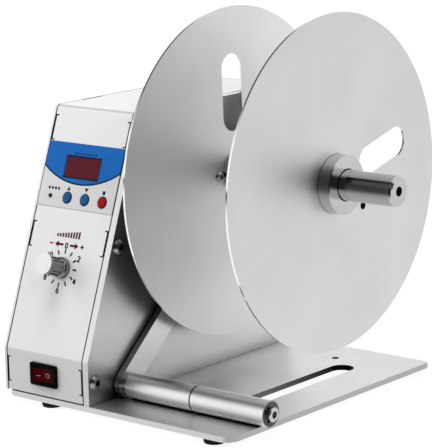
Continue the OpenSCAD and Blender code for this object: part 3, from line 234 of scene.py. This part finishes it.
# %% [markdown]
# ## Lamps
# The top of the box is the brightest face, so a large softbox hangs above.
# The knob's shadow falls to the right, so a second one stands to the left, a
# little higher than the machine. A weak one on the right keeps the side plate
# from going flat. Bare metal would show each softbox as a hard streak that
# the photograph lacks, so glossy rays don't see them.

# %% Softboxes
def softbox(name, place, aim, size, power):
    """A square area lamp whose -Z axis points from its place to its aim, unseen by glossy rays."""
    lamp = bpy.data.lights.new(name, "AREA")
    lamp.shape = "SQUARE"
    lamp.size = size
    lamp.energy = power
    box = bpy.data.objects.new(name, lamp)
    direction = Vector(aim) - Vector(place)
    box.matrix_world = Matrix.Translation(place) @ direction.to_track_quat("-Z", "Y").to_matrix().to_4x4()
    box.visible_glossy = False
    scene.collection.objects.link(box)


softbox("top_softbox", (0.05, -0.45, 1.85), (-0.05, 0.0, 0.15), 0.9, 13.4)
softbox("left_softbox", (-1.35, -0.62, 0.72), (-0.08, -0.08, 0.12), 1.4, 13.6)
softbox("right_softbox", (1.2, -0.6, 1.1), (0.0, 0.0, 0.10), 1.0, 5.0)
scene.view_settings.view_transform = "Standard"

# %% [markdown]
# ## Surface patterns
# Real finishes differ by a pattern and its size: brushing is a noise pulled
# long one way, turning marks are noise that changes only along the axis, and
# paint has a soft orange peel. All of them read Object coordinates, which
# are metres here, so one pattern runs on over a whole piece.

# %% Pattern helpers
# Painted shade: corners and narrow gaps darken towards this near black.
CORNER_SHADE = (0.006, 0.006, 0.007, 1.0)
CORNER_SHADE_SPAN = (0.30, 0.72)


def start(name):
    """A new material: the material, its tree, its Principled shader and its Object coordinates."""
    look = bpy.data.materials.new(name)
    look.use_nodes = True
    tree = look.node_tree
    return look, tree, tree.nodes["Principled BSDF"], add(tree, "TexCoord").outputs["Object"]


def grain(tree, coords, stretch, detail=3.0):
    """Noise from 0 to 1 whose cells are 1 / stretch metres long along each axis."""
    pulled = add(tree, "Mapping", {"Vector": coords, "Scale": stretch})
    return add(tree, "TexNoise", {"Vector": pulled.outputs[0], "Scale": 1.0, "Detail": detail,
                                  "Roughness": 0.6}).outputs["Fac"]


def between(tree, fac, low, high):
    """Maps the noise's usual 0.3 to 0.7 onto low to high."""
    return scaled(tree, fac, 0.3, 0.7, low, high)


def blend(tree, fac, first, second):
    """Colour that goes from first to second as fac goes from 0 to 1."""
    return add(tree, "Mix", {0: fac, 6: first, 7: second}, data_type="RGBA").outputs[2]


def corner_shaded(tree, colour, reach):
    """A colour with painted shade: it darkens where neighbours closer than reach metres cover most of the
    view.
    """
    view = add(tree, "AmbientOcclusion", {"Distance": reach}, samples=6).outputs["AO"]
    return blend(tree, scaled(tree, view, *CORNER_SHADE_SPAN), CORNER_SHADE, colour)


def clouded(tree, coords, code, tone, cloud, detail, reach):
    """A colour that drifts down to tone times itself in cells of 1 / cloud metres, with painted shade in
    its corners.
    """
    colour = shade(code)
    dim = (*np.array(colour[:3]) * tone, 1.0)
    patch = grain(tree, coords, (cloud,) * 3, detail)
    return corner_shaded(tree, blend(tree, between(tree, patch, 0.0, 1.0), dim, colour), reach)


def relief(tree, height, depth):
    """Normal of a surface that the height, from 0 to 1, lifts by depth metres."""
    return add(tree, "Bump", {"Height": height, "Strength": 1.0, "Distance": depth}).outputs["Normal"]


print("patterns ready")

# %% [markdown]
# ## Bare metals
# Discs, plates, spindle and rollers are bare metal. A metal has no colour of
# its own but that of its reflection, so the base colour stays close to grey
# and the roughness does the work. One recipe serves them all: a slow cloud
# for handling marks, and a fine grain whose stretch tells brushing, turning
# and blasting apart.

# %% Metal recipe
# Every metal gets painted shade in its corners, as far as its reach.
def metal(name, code, rough, stretch, depth, tone=0.9, cloud=14.0, reach=0.0016):
    """A clouded colour, all metal; the fine grain drives its roughness and a relief of depth metres."""
    look, tree, shader, coords = start(name)
    fine = grain(tree, coords, stretch, 4.0)
    fill(tree, shader, {
        "Base Color": clouded(tree, coords, code, tone, cloud, 2.0, reach),
        "Metallic": 1.0,
        "Roughness": between(tree, fine, *rough),
        "Normal": relief(tree, fine, depth)})
    return look


DISC = dict(stretch=(1300, 1300, 1300), depth=5e-6, tone=0.93)
TURNED = dict(code="C8C8C8", rough=(0.14, 0.24), stretch=(1900, 12, 12), depth=3e-6)
METALS = {
    "base_aluminium": dict(code="F2F2F2", rough=(0.34, 0.46), stretch=(1600, 45, 1600), depth=6e-6,
                           reach=0.002),
    # The plate's long reach paints the shade that the discs and the arm cast on it.
    "plate_aluminium": dict(code="DFDFDF", rough=(0.30, 0.42), stretch=(1500, 60, 1500), depth=5e-6,
                            reach=0.022),
    "arm_aluminium": dict(code="EDEDED", rough=(0.26, 0.38), stretch=(1500, 300, 1500), depth=5e-6),
    "disc_aluminium": dict(DISC, code="E2E2E2", rough=(0.40, 0.50)),
    # Painted light: the inner disc is a brighter copy of the outer disc's finish, making up for the outer
    # disc's shade.
    "back_disc_brightened": dict(DISC, code="F2F2F2", rough=(0.45, 0.55)),
    "turned_steel": TURNED,
    "shaft_steel": TURNED,
    "roller_steel": dict(code="F8F8F8", rough=(0.28, 0.40), stretch=(500, 60, 60), depth=4e-6,
                         tone=0.92, reach=0.002),
    "screw_steel": dict(code="A8A8A8", rough=(0.20, 0.34), stretch=(2400, 2400, 2400), depth=4e-6,
                        tone=0.85, cloud=60.0, reach=0.004),
    "black_steel": dict(code="5A5B5D", rough=(0.30, 0.48), stretch=(2000, 2000, 2000), depth=6e-6,
                        tone=0.7),
    "inner_metal": dict(code="BFC0C2", rough=(0.34, 0.52), stretch=(1200, 200, 200), depth=8e-6),
    "brass": dict(code="D2B068", rough=(0.24, 0.40), stretch=(1800, 60, 60), depth=5e-6),
}
finishes = {name: metal(name, **row) for name, row in METALS.items()}
print(len(finishes), "metals")

# %% [markdown]
# ## Cut edges
# The right side plate is painted on its narrow edges, like the cover beside
# it, and its broad faces are left bare. The discs' rims are turned bright.
# The arm's edges carry a darker grey than its faces, a painted shade. The
# rollers' end faces are darker than their polished round. The base's sawn
# sides are darker than its brushed top, those facing along X the most: a
# painted shade. These could be pieces of their own, but a face's normal
# already tells an edge from a broad face, so it makes the mask.

# %% Painted edges and painted shade on edges
AXIS_X, AXIS_Y, AXIS_Z = (1, 0, 0), (0, 1, 0), (0, 0, 1)


def facing(tree, direction):
    """How squarely the surface faces a direction, from -1 to 1, by its own normal."""
    return along(tree, add(tree, "TexCoord").outputs["Normal"], direction)


def sideways(tree, direction):
    """1 where a face is turned along a direction, either way, and 0 where it lies across it."""
    return scaled(tree, maths(tree, "ABSOLUTE", facing(tree, direction)), 0.3, 0.6)


def edge_of(tree, direction):
    """1 on the narrow edges of a flat piece whose broad faces look along a direction."""
    return maths(tree, "SUBTRACT", 1.0, sideways(tree, direction))


def laid_over(look, mask, code, metallic=None, rough=None):
    """Lays a colour over a finish where the mask is 1, with its own metallic or roughness if given."""
    tree, sockets = look.node_tree, look.node_tree.nodes["Principled BSDF"].inputs
    under = sockets["Base Color"].links[0].from_socket
    tree.links.new(blend(tree, mask, under, shade(code)), sockets["Base Color"])
    if metallic is not None:
        tree.links.new(either(tree, mask, sockets["Metallic"].default_value, metallic), sockets["Metallic"])
    if rough is not None:
        under = sockets["Roughness"].links[0].from_socket
        tree.links.new(either(tree, mask, under, rough), sockets["Roughness"])
    return look


def mark_faces(name, mask, direction, code, **more):
    """Lays a colour over the faces of a finish that a mask picks by a direction."""
    look = finishes[name]
    laid_over(look, mask(look.node_tree, direction), code, **more)


mark_faces("plate_aluminium", edge_of, AXIS_X, "ECECEC", metallic=0.0)
# Painted shade: the arm's edges are a darker grey than its faces.
mark_faces("arm_aluminium", edge_of, AXIS_X, "9A9A9C")
mark_faces("disc_aluminium", edge_of, AXIS_X, "FFFFFF", rough=0.12)
mark_faces("back_disc_brightened", edge_of, AXIS_X, "FFFFFF", rough=0.12)
mark_faces("roller_steel", sideways, AXIS_X, "8A8A8C")
# Painted shade: the base's sides are darker than its top, those along X the most.
mark_faces("base_aluminium", sideways, AXIS_Y, "D2D2D2")
mark_faces("base_aluminium", sideways, AXIS_X, "B4B4B4")
print("edges of the plate, the arm, the discs, the rollers and the base")

# %% [markdown]
# ## Slot and hole of the base
# The walls of the base's slot and hole are milled. Their colour is a painted
# shade, dark grey and nearly black towards the back, where less light comes
# in. They are the edges that lie well inside the base's outline, so the
# distance from its middle, along each side, parts them from the sawn sides.

# %% Painted shade on the milled walls
INWARD, SOFT = 0.008, 0.001
SLOT_FRONT, SLOT_BACK = -0.025, 0.045

look = finishes["base_aluminium"]
tree = look.node_tree
low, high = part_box("base_plate")
reach = (high - low) / 2 - Vector((INWARD, INWARD, INWARD))
coords = add(tree, "TexCoord").outputs["Object"]
apart = vectors(tree, "ABSOLUTE", vectors(tree, "SUBTRACT", coords, (low + high) / 2))
inside_x = scaled(tree, along(tree, apart, AXIS_X), reach.x, reach.x - SOFT)
inside_y = scaled(tree, along(tree, apart, AXIS_Y), reach.y, reach.y - SOFT)
slot_walls = both(tree, edge_of(tree, AXIS_Z), both(tree, inside_x, inside_y))
# Painted shade: the slot's walls are dark grey, and near black towards the back.
laid_over(look, slot_walls, "626266")
shaded = scaled(tree, along(tree, coords, AXIS_Y), SLOT_FRONT, SLOT_BACK)
laid_over(look, both(tree, slot_walls, shaded), "0A0A0C")
print("milled inside", np.round(reach[:2], 4), "m from the base's middle")

# %% [markdown]
# ## Keyway of the spindle
# The keyway and the hole in the spindle's end are milled, and their colour is
# a little darker than the polished round: a painted shade of the recess. They
# are the places that lie closer to the axis than the round does, apart from
# the flat end, so the distance from the axis makes their mask.

# %% Painted shade in the keyway
SUNK_R, ROUND_R = 0.0104, 0.0108

look = finishes["shaft_steel"]
tree = look.node_tree
low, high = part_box("spindle_shaft")
axis = (low + high) / 2
coords = add(tree, "TexCoord").outputs["Object"]
around = vectors(tree, "MULTIPLY", vectors(tree, "SUBTRACT", coords, axis), (0, 1, 1))
radius = vectors(tree, "LENGTH", around, result="Value")
sunk = both(tree, scaled(tree, radius, ROUND_R, SUNK_R), edge_of(tree, AXIS_X))
# Painted shade: the keyway and the end hole are a little darker.
laid_over(look, sunk, "C0C0C2")
print("spindle axis at y, z", np.round(axis[1:], 4))

# %% [markdown]
# ## Paint, plastic and rubber
# The sheet cover is satin powder paint, the switch and inlet are grained
# black plastic, and keys, rocker, window and lamp are smooth plastic. These
# are not metallic: the colour lies under a clear surface. The grain is rounder
# and coarser on paint than on plastic, and rubber is dull.

# %% Coated and moulded recipe
# SEAM_REACH is how far the painted shade of corners reaches on paint and plastic.
CLOUD, SEAM_REACH = 22.0, 0.0025


def moulded(name, code, rough, size, depth, tone=0.88, shine=0.5):
    """A clouded colour under a clear surface; a round grain, 1 / size metres, gives roughness and bumps."""
    look, tree, shader, coords = start(name)
    fine = grain(tree, coords, (size,) * 3, 2.0)
    fill(tree, shader, {
        "Base Color": clouded(tree, coords, code, tone, CLOUD, 3.0, SEAM_REACH),
        "Roughness": between(tree, fine, *rough),
        "Normal": relief(tree, fine, depth),
        "Specular IOR Level": shine})
    return look


SHEET = dict(code="EEEEEE", rough=(0.42, 0.54), size=900, depth=9e-6, tone=0.975)
KEY = dict(rough=(0.34, 0.46), size=900, depth=4e-6, tone=0.92, shine=0.08)
COATED = {
    "white_sheet": SHEET,
    "cover_sheet": SHEET,
    "left_sheet": SHEET,
    "motor_case": dict(code="45474B", rough=(0.40, 0.60), size=1400, depth=1.5e-5),
    "rubber": dict(code="0E0E0F", rough=(0.70, 0.90), size=1200, depth=3e-5, shine=0.2),
    "red_window": dict(code="5C1F2A", rough=(0.10, 0.18), size=500, depth=2e-6, tone=0.9, shine=0.05),
    "lamp_red": dict(code="200C0E", rough=(0.14, 0.24), size=900, depth=3e-6, tone=0.8, shine=0.4),
    "blue_key": dict(KEY, code="21598A"),
    "red_key": dict(KEY, code="9E121E"),
    "rocker_red": dict(code="50040D", rough=(0.20, 0.32), size=700, depth=3e-6, tone=0.75, shine=0.03),
    "black_plastic": dict(code="040405", rough=(0.45, 0.62), size=1500, depth=1.2e-5, tone=0.8, shine=0.03),
}
finishes |= {name: moulded(name, **row) for name, row in COATED.items()}
print(len(finishes), "finishes so far")

# %% [markdown]
# ## Painted shade inside the seams
# The cover's cut edges, its bent tabs and the inner face of the left plate
# are painted near black, a painted shade of the narrow gaps, so the seams
# read as black lines. The mask looks at how far the surface is turned to the
# side. On the fold between the top and the slope lies a grey painted shade,
# and the faces of that fold are the ones that look half-way between the two.

# %% Painted shade on the cover's edges and fold, and the left plate
FOLD_NORMAL = (0, -0.571, 0.821)
SEAM_SHADE, FOLD_SHADE = "080808", "BEBEBE"

look = finishes["cover_sheet"]
tree = look.node_tree
turned_in = maths(tree, "ABSOLUTE", facing(tree, AXIS_X))
# Painted shade: faces of the cover turned to the side go near black.
laid_over(look, scaled(tree, turned_in, 0.10, 0.25), SEAM_SHADE)
# Painted shade: a grey line along the fold.
laid_over(look, scaled(tree, facing(tree, FOLD_NORMAL), 0.95, 0.985), FOLD_SHADE)
look = finishes["left_sheet"]
inner_face = scaled(look.node_tree, facing(look.node_tree, AXIS_X), 0.40, 0.60)
# Painted shade: the left plate's inner face goes near black.
laid_over(look, inner_face, SEAM_SHADE)
print("seams ready")

# %% [markdown]
# ## Rocker
# The rocker is red see-through plastic. Its red is deep in the middle and
# goes black towards the frame, a painted shade of the frame. The larger of
# the two distances from its centre, each as a share of its half size, makes
# a mask that follows its four sides.

# %% Painted shade at the rocker's border
ROCKER_MIDDLE = (-0.0815, -0.13, 0.0244)
ROCKER_HALF = (0.0098, 1.0, 0.0059)

look = finishes["rocker_red"]
tree = look.node_tree
coords = add(tree, "TexCoord").outputs["Object"]
share = vectors(tree, "DIVIDE", vectors(tree, "SUBTRACT", coords, ROCKER_MIDDLE), ROCKER_HALF)
apart = vectors(tree, "ABSOLUTE", share)
largest = maths(tree, "MAXIMUM", along(tree, apart, AXIS_X), along(tree, apart, AXIS_Z))
# Painted shade: the rocker's red goes near black towards its sides.
laid_over(look, scaled(tree, largest, 0.62, 0.95), "0C0304")
print("rocker border ready")

# %% [markdown]
# ## Circuit boards
# The boards inside are green solder mask over copper. A brick pattern with
# thin mortar reads as rows of tracks, so the mortar takes the lighter green
# and lifts a little, as copper does under the mask.

# %% Board recipe
TRACKS = 260.0

look, tree, shader, coords = start("circuit_board")
greens = {"Color1": shade("1F5C34"), "Color2": shade("245F38"), "Mortar": shade("4E8E58")}
rows = add(tree, "TexBrick", {"Vector": coords, "Scale": TRACKS, "Mortar Size": 0.06, **greens})
fill(tree, shader, {"Base Color": rows.outputs["Color"], "Roughness": 0.36,
                    "Normal": relief(tree, rows.outputs["Fac"], 2e-5)})
finishes["circuit_board"] = look
print("board tracks every", round(1000 / TRACKS, 2), "mm")

# %% [markdown]
# ## Printed film of the control panel
# One film carries the display window and the keys: blue above, pale grey
# below, parted by a shallow arc with a thin black line. The arc could be cut
# as geometry, but it is ink, so it is drawn in the material. A Mapping node
# turns Object coordinates into panel coordinates, and the distance from the
# arc's centre picks the ink.

# %% Panel coordinates and film
MM = 0.001
TILT = np.radians(20.368)
PANEL_FOOT = np.array([-81.5, -129.919, 39.5]) * MM
PANEL_AXES = np.array([[1, 0, 0], [0, np.sin(TILT), np.cos(TILT)], [0, -np.cos(TILT), np.sin(TILT)]])
ARC_CENTRE = (0, 185.5 * MM, 0)
ARC_R = 63.2 * MM
HALF_LINE = 0.55 * MM
INK_BLACK = "0C0D10"

look, tree, shader, coords = start("overlay_film")
lean = (np.pi / 2 - TILT, 0, 0)
laid = add(tree, "Mapping", {"Vector": coords, "Location": PANEL_FOOT, "Rotation": lean},
           vector_type="TEXTURE").outputs[0]
far = vectors(tree, "DISTANCE", vectors(tree, "MULTIPLY", laid, (1, 1, 0)), ARC_CENTRE, "Value")
below = maths(tree, "GREATER_THAN", far, ARC_R - HALF_LINE)
past = maths(tree, "GREATER_THAN", far, ARC_R + HALF_LINE)
mottle = between(tree, grain(tree, coords, (30.0,) * 3), 0.0, 1.0)
fine = grain(tree, coords, (1300.0,) * 3, 2.0)
blue = blend(tree, mottle, shade("0F61B2"), shade("1568BA"))
grey = blend(tree, mottle, shade("D8D8D8"), shade("DEDEDE"))
inked = blend(tree, past, blend(tree, below, blue, shade(INK_BLACK)), grey)
fill(tree, shader, {"Base Color": inked, "Roughness": between(tree, fine, 0.30, 0.42),
                    "Specular IOR Level": 0.10, "Normal": relief(tree, fine, 4e-6)})
finishes["overlay_film"] = look
print("arc of", round(ARC_R / MM, 1), "mm radius")

# %% [markdown]
# ## Knob
# The fluted side of the knob is dull metal and its flat end is a bright
# satin cap. The two could be separate pieces, but the knob turns about its
# own axis only, so a mask on how squarely a face looks along that axis
# stays true in every position.

# %% Knob finish
look = metal("knob_silver", code="949494", rough=(0.26, 0.40), stretch=(1600, 1600, 1600), depth=5e-6,
             tone=0.85, cloud=60.0, reach=0.003)
cap = scaled(look.node_tree, facing(look.node_tree, PANEL_AXES[2]), 0.80, 0.95)
finishes["knob_silver"] = laid_over(look, cap, "F2F2F2", metallic=0.0)
print("knob cap faces", np.round(PANEL_AXES[2], 3))

# %% [markdown]
# ## Giving the finishes to the CAD nodes
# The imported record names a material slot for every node, and the finishes
# above carry the same names. A few nodes have a finish of their own, and one
# loop over the record does the rest. A node without a finish would stop the
# script.

# %% Assign finishes
OWN_FINISH = {
    "front_cover": "cover_sheet",
    "spindle_shaft": "shaft_steel",
    "roller_clip": "black_steel",
    "left_side_plate": "left_sheet",
    "tension_arm": "arm_aluminium",
    "inner_disc": "back_disc_brightened",
    "inner_roller": "roller_steel",
    "outer_roller": "roller_steel"}
for row in frame["record"]["subparts"]:
    slots = frame["nodes"][row["node"]].data.materials
    slots.clear()
    slots.append(finishes[OWN_FINISH.get(row["node"], row["material_slot"])])

# %% [markdown]
# ## Thin prints
# The scale round the knob, the key symbols and the switch marks are screen
# printed. They could be painted in a shader, but a print has a crisp edge
# and a small thickness that catches light. Each one is a flat bar carried
# along a path, a few hundredths of a millimetre thick.

# %% Bars along paths
INK_LOW, INK_TOP = 0.01, 0.05


def grid_faces(rows, ring, closed):
    """Quads between neighbouring sections, and for an open path a second array with its two end caps."""
    i = np.arange(rows if closed else rows - 1)[:, None]
    j = np.arange(ring)[None, :]
    ahead, turn = (i + 1) % rows, (j + 1) % ring
    corners = [i * ring + j, i * ring + turn, ahead * ring + turn, ahead * ring + j]
    quads = np.stack(corners, -1).reshape(-1, 4)
    caps = np.array([np.arange(ring)[::-1], (rows - 1) * ring + np.arange(ring)])
    return [quads] if closed else [quads, caps]


def bar(path, width, closed=False):
    """A four-cornered section carried along a flat path, in mm: width across it, INK_LOW to INK_TOP up."""
    path = np.asarray(path, float)
    ahead = np.roll(path, -1, 0) - np.roll(path, 1, 0) if closed else np.gradient(path, axis=0)
    ahead = ahead / np.linalg.norm(ahead, axis=1, keepdims=True)
    side = np.stack([-ahead[:, 1], ahead[:, 0]], 1) * np.broadcast_to(width, len(path))[:, None] / 2
    left, right = path + side, path - side
    corners = [(right, INK_LOW), (left, INK_LOW), (left, INK_TOP), (right, INK_TOP)]
    points = np.stack([np.column_stack([edge, np.full(len(path), h)]) for edge, h in corners], 1)
    return points.reshape(-1, 3), grid_faces(len(path), 4, closed)


def line(first, last):
    """Three points of a straight path: both ends and the middle."""
    return np.linspace(first, last, 3)


def arc(centre, r, first, last, n):
    """n points of a circle or ellipse between two angles in degrees; r is one radius or two."""
    t = np.radians(np.linspace(first, last, n))
    return np.asarray(centre) + np.stack([np.cos(t), np.sin(t)], 1) * np.broadcast_to(r, 2)


def ring(centre, r, width):
    """A closed bar round a circle or ellipse, with a point every 15 degrees."""
    return bar(arc(centre, r, 0, 345, 24), width, True)


print("prints are", INK_TOP, "mm proud")

# %% [markdown]
# ## Making a print a piece
# Bars are worked out flat, in millimetres. To become a piece they are joined
# into one array, lifted onto their face by its origin and its three axes,
# and written into a mesh, so the object itself stays at the origin.

# %% Print onto a face
def print_on(name, bars, origin, axes, look, body):
    """One piece from many bars: origin + points times the face's axes, in metres; it rides on a body."""
    count = np.cumsum([0] + [len(p) for p, f in bars])
    points = origin + np.vstack([p for p, f in bars]) * MM @ axes
    faces = [row for (p, f), n in zip(bars, count) for part in f for row in (part + n).tolist()]
    mesh = bpy.data.meshes.new(name)
    mesh.from_pydata(points.tolist(), [], faces)
    mesh.materials.append(look)
    piece = bpy.data.objects.new(name, mesh)
    scene.collection.objects.link(piece)
    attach(piece, body)
    print(name, len(bars), "bars,", len(faces), "faces")


def moved(bars, place, size=1.0):
    """Bars scaled in their plane by size and shifted to a place."""
    return [(p * (size, size, 1) + (*place, 0), f) for p, f in bars]


PRINT = dict(rough=(0.50, 0.65), size=900, depth=3e-6, shine=0.2)
ink_black = moulded("ink_black", INK_BLACK, tone=0.8, **PRINT)
ink_red = moulded("ink_red", "5E0420", tone=0.85, **PRINT)
ink_white = moulded("ink_white", "C9A9AB", rough=(0.40, 0.55), size=900, depth=3e-6, tone=0.95)
print("three inks")

# %% [markdown]
# ## Dial scale
# Twelve strokes stand round the knob, one every 30 degrees. Every second one
# has a plain number, from 0 at the top clockwise to 10. The numerals are
# drawn from arcs and lines, because bars along paths give the same even line
# as the screen print.

# %% Strokes and numerals
DIAL = np.array([0.0, 62.04])
TICK_R, TICK_W = (10.4, 13.8), 1.25
NUMBER_R, NUMBER_TALL = 16.2, 3.9
STROKE, STEP = 0.26, 0.72
NUMERALS = {
    "0": [ring((0, 0), (0.27, 0.45), STROKE)],
    "1": [bar(line((0.02, -0.5), (0.02, 0.5)), STROKE)],
    "2": [bar(np.vstack([arc((0, 0.22), 0.25, 160, -40, 14), [(-0.26, -0.42)]]), STROKE),
          bar(line((-0.32, -0.43), (0.30, -0.43)), STROKE)],
    "4": [bar(line((0.12, 0.48), (-0.30, -0.18)), STROKE),
          bar(line((-0.34, -0.18), (0.32, -0.18)), STROKE),
          bar(line((0.13, 0.48), (0.13, -0.5)), STROKE)],
    "6": [ring((0, -0.18), 0.26, STROKE), bar(arc((0.22, -0.1), (0.48, 0.55), 175, 95, 10), STROKE)],
    "8": [ring((0, 0.22), 0.21, STROKE), ring((0, -0.2), 0.26, STROKE)],
}


def on_dial(angle, r):
    """The point of the dial at an angle in degrees, counted from its right, and a radius."""
    return DIAL + r * np.array([np.cos(np.radians(angle)), np.sin(np.radians(angle))])


def number(text, place, size):
    """The numerals of a text side by side, centred on a place, size mm tall."""
    shift = np.arange(len(text)) - (len(text) - 1) / 2
    return [b for ch, k in zip(text, shift)
            for b in moved(NUMERALS[ch], (place[0] + k * size * STEP, place[1]), size)]


scale = [bar(line(*[on_dial(a, r) for r in TICK_R]), TICK_W) for a in range(0, 360, 30)]
for i, text in enumerate(["0", "2", "4", "6", "8", "10"]):
    scale += number(text, on_dial(90 - 60 * i, NUMBER_R), NUMBER_TALL)
print_on("dial_scale", scale, PANEL_FOOT, PANEL_AXES, ink_black, "chassis")

# %% [markdown]
# ## Slower and faster
# Over the dial the panel shows in dark red which way to turn: two arrows, a
# minus and a plus, and a row of rising bars. A bar whose width shrinks to
# nothing along its path is an arrow head.

# %% Arrows and rising bars
ARROW_S, ARROW_X, SHAFT_W = 78.7, (3.2, 11.2), 1.6
HEAD_L, HEAD_W = 3.4, (4.6, 2.32, 0.04)
SIGN_X, SIGN_ARM, SIGN_W = 14.8, 1.6, 1.0
BARS_S, BARS_X, BAR_W = 84.0, 10.2, 1.65
BAR_LOW, BAR_RISE = 2.2, 0.36


def arrow(x0, x1, s):
    """A thin bar from x0 to x1 with a tapering head at x1."""
    neck = x1 - np.sign(x1 - x0) * HEAD_L
    return [bar(line((x0, s), (neck, s)), SHAFT_W), bar(line((neck, s), (x1, s)), HEAD_W)]


signs = arrow(-ARROW_X[0], -ARROW_X[1], ARROW_S) + arrow(*ARROW_X, ARROW_S)
level = line((-SIGN_ARM, 0), (SIGN_ARM, 0))
upright = line((0, -SIGN_ARM), (0, SIGN_ARM))
signs += moved([bar(level, SIGN_W)], (-SIGN_X, ARROW_S))
signs += moved([bar(level, SIGN_W), bar(upright, SIGN_W)], (SIGN_X, ARROW_S))
for i, x in enumerate(np.linspace(-BARS_X, BARS_X, 9)):
    signs += [bar(line((x, BARS_S), (x, BARS_S + BAR_LOW + BAR_RISE * i)), BAR_W)]
print_on("speed_signs", signs, PANEL_FOOT, PANEL_AXES, ink_red, "chassis")

# %% [markdown]
# ## Key symbols
# Each key has a dark printed ring round it and a plain symbol above: up,
# down and stop. Small squares mark the lamp. A thin dark frame runs round the
# window, with a row of short dashes over it. All lie on the film, which is
# 0.4 mm thick, so the face's origin is lifted by that much along the panel's
# normal.

# %% Rings and symbols on the film
FILM_FACE = PANEL_FOOT + PANEL_AXES[2] * 0.4 * MM
KEY_X, KEY_S, SYMBOL_S = (-8.6, 8.2, 25.0), 112.04, 118.9
RING_R, RING_W = 4.25, 0.5
TAPER, STOP_W = np.array([3.4, 1.7, 0.04]), 3.0
LAMP_SQUARES = dict(xs=np.linspace(-27.2, -18.2, 4), s=117.8, size=1.9)
WINDOW_DASHES = dict(xs=np.linspace(-9.0, 11.0, 9), s=144.3, size=1.6)
WINDOW_S, WINDOW_HALF, FRAME_W = 134.44, (16.95, 7.95), 0.85


def row_of(bars, xs, s, size):
    """The same bars again at every x of a level row."""
    return [b for x in xs for b in moved(bars, (x, s), size)]


symbols = [ring((x, KEY_S), RING_R, RING_W) for x in KEY_X]
tall = line((0, -1.5), (0, 1.5))
symbols += moved([bar(tall, TAPER)], (KEY_X[0], SYMBOL_S))
symbols += moved([bar(tall, TAPER[::-1])], (KEY_X[1], SYMBOL_S))
symbols += moved([bar(tall, STOP_W)], (KEY_X[2], SYMBOL_S), 0.85)
dash = line((-0.5, 0), (0.5, 0))
symbols += row_of([bar(dash, 1.0)], **LAMP_SQUARES)
symbols += row_of([bar(dash, 0.7)], **WINDOW_DASHES)
symbols += moved([bar(np.array(square) * WINDOW_HALF, FRAME_W, True)], (0.0, WINDOW_S))
print_on("key_symbols", symbols, FILM_FACE, PANEL_AXES, ink_black, "chassis")

# %% [markdown]
# ## Switch marks
# The rocker lies on its side, so its on mark is a level line on the left
# wing and its off mark a ring on the right one. At rest the right wing is
# pressed in and lies parallel to the box, and the left wing rises from the
# valley by twice the rocker's tilt. The valley stands out from the rocker's
# pivot, and the tilt carries it a little to the right.

# %% Marks on the two wings
ROCK = np.radians(16.0)
PIVOT = np.array([-81.5, -128.919, 24.4])
VALLEY = (PIVOT + (0.309, -2.2, 0.0)) * MM
LEFT_WING = np.array([[np.cos(ROCK), np.sin(ROCK), 0], [0, 0, 1], [np.sin(ROCK), -np.cos(ROCK), 0]])
RIGHT_WING = np.array([[1, 0, 0], [0, 0, 1], [0, -1, 0]])
ON_X, ON_Z, ON_W = (-5.9, -2.7), -0.6, 0.36
OFF_X, OFF_R, OFF_W = 3.6, (1.75, 1.45), 0.38

on_line = bar(line((ON_X[0], ON_Z), (ON_X[1], ON_Z)), ON_W)
print_on("switch_on_mark", [on_line], VALLEY, LEFT_WING, ink_white, "switch_rocker")
off_ring = ring((OFF_X, 0), OFF_R, OFF_W)
print_on("switch_off_mark", [off_ring], VALLEY, RIGHT_WING, ink_white, "switch_rocker")

# %% [markdown]
# ## Plug in the outer disc
# The small hole in the outer disc is closed by a black rubber plug. Its
# section is a short profile of lengths along the axis and radii, carried
# round the hole's axis in 24 steps: a lip behind the disc holds it, and its
# front is a low dome with a dimple. The helper of the prints makes it a
# piece, on the frame's own axes.

# %% Profile carried round an axis
def turned_round(profile, centre, steps=24):
    """Points (x, r cos t, r sin t) about a centre, for every (x, r) of a profile and angle t, in mm."""
    profile = np.asarray(profile, float)
    angle = np.linspace(0, 2 * np.pi, steps, endpoint=False)
    x = np.broadcast_to(profile[:, :1], (len(profile), steps))
    y, z = profile[:, 1:] * np.cos(angle), profile[:, 1:] * np.sin(angle)
    return (np.stack([x, y, z], -1) + centre).reshape(-1, 3), grid_faces(len(profile), steps, False)


DISC_FRONT, HOLE_Y, HOLE_Z = 69.5, 45.870, 133.531
PLUG = [(-2.4, 2.4), (-2.3, 3.2), (-1.8, 3.6), (-1.55, 3.5), (-1.52, 2.95),
        (0.1, 2.95), (0.4, 2.5), (0.45, 2.0), (0.2, 1.5), (0.1, 0.6)]
rubber_plug = turned_round(PLUG, (DISC_FRONT, HOLE_Y, HOLE_Z))
plug_look = finishes["black_plastic"]
print_on("disc_plug", [rubber_plug], np.zeros(3), np.eye(3), plug_look, "outer_clamp")

# %% [markdown]
# ## Closing
# The view layer is updated once more at the end.

# %% Finish
bpy.context.view_layer.update()
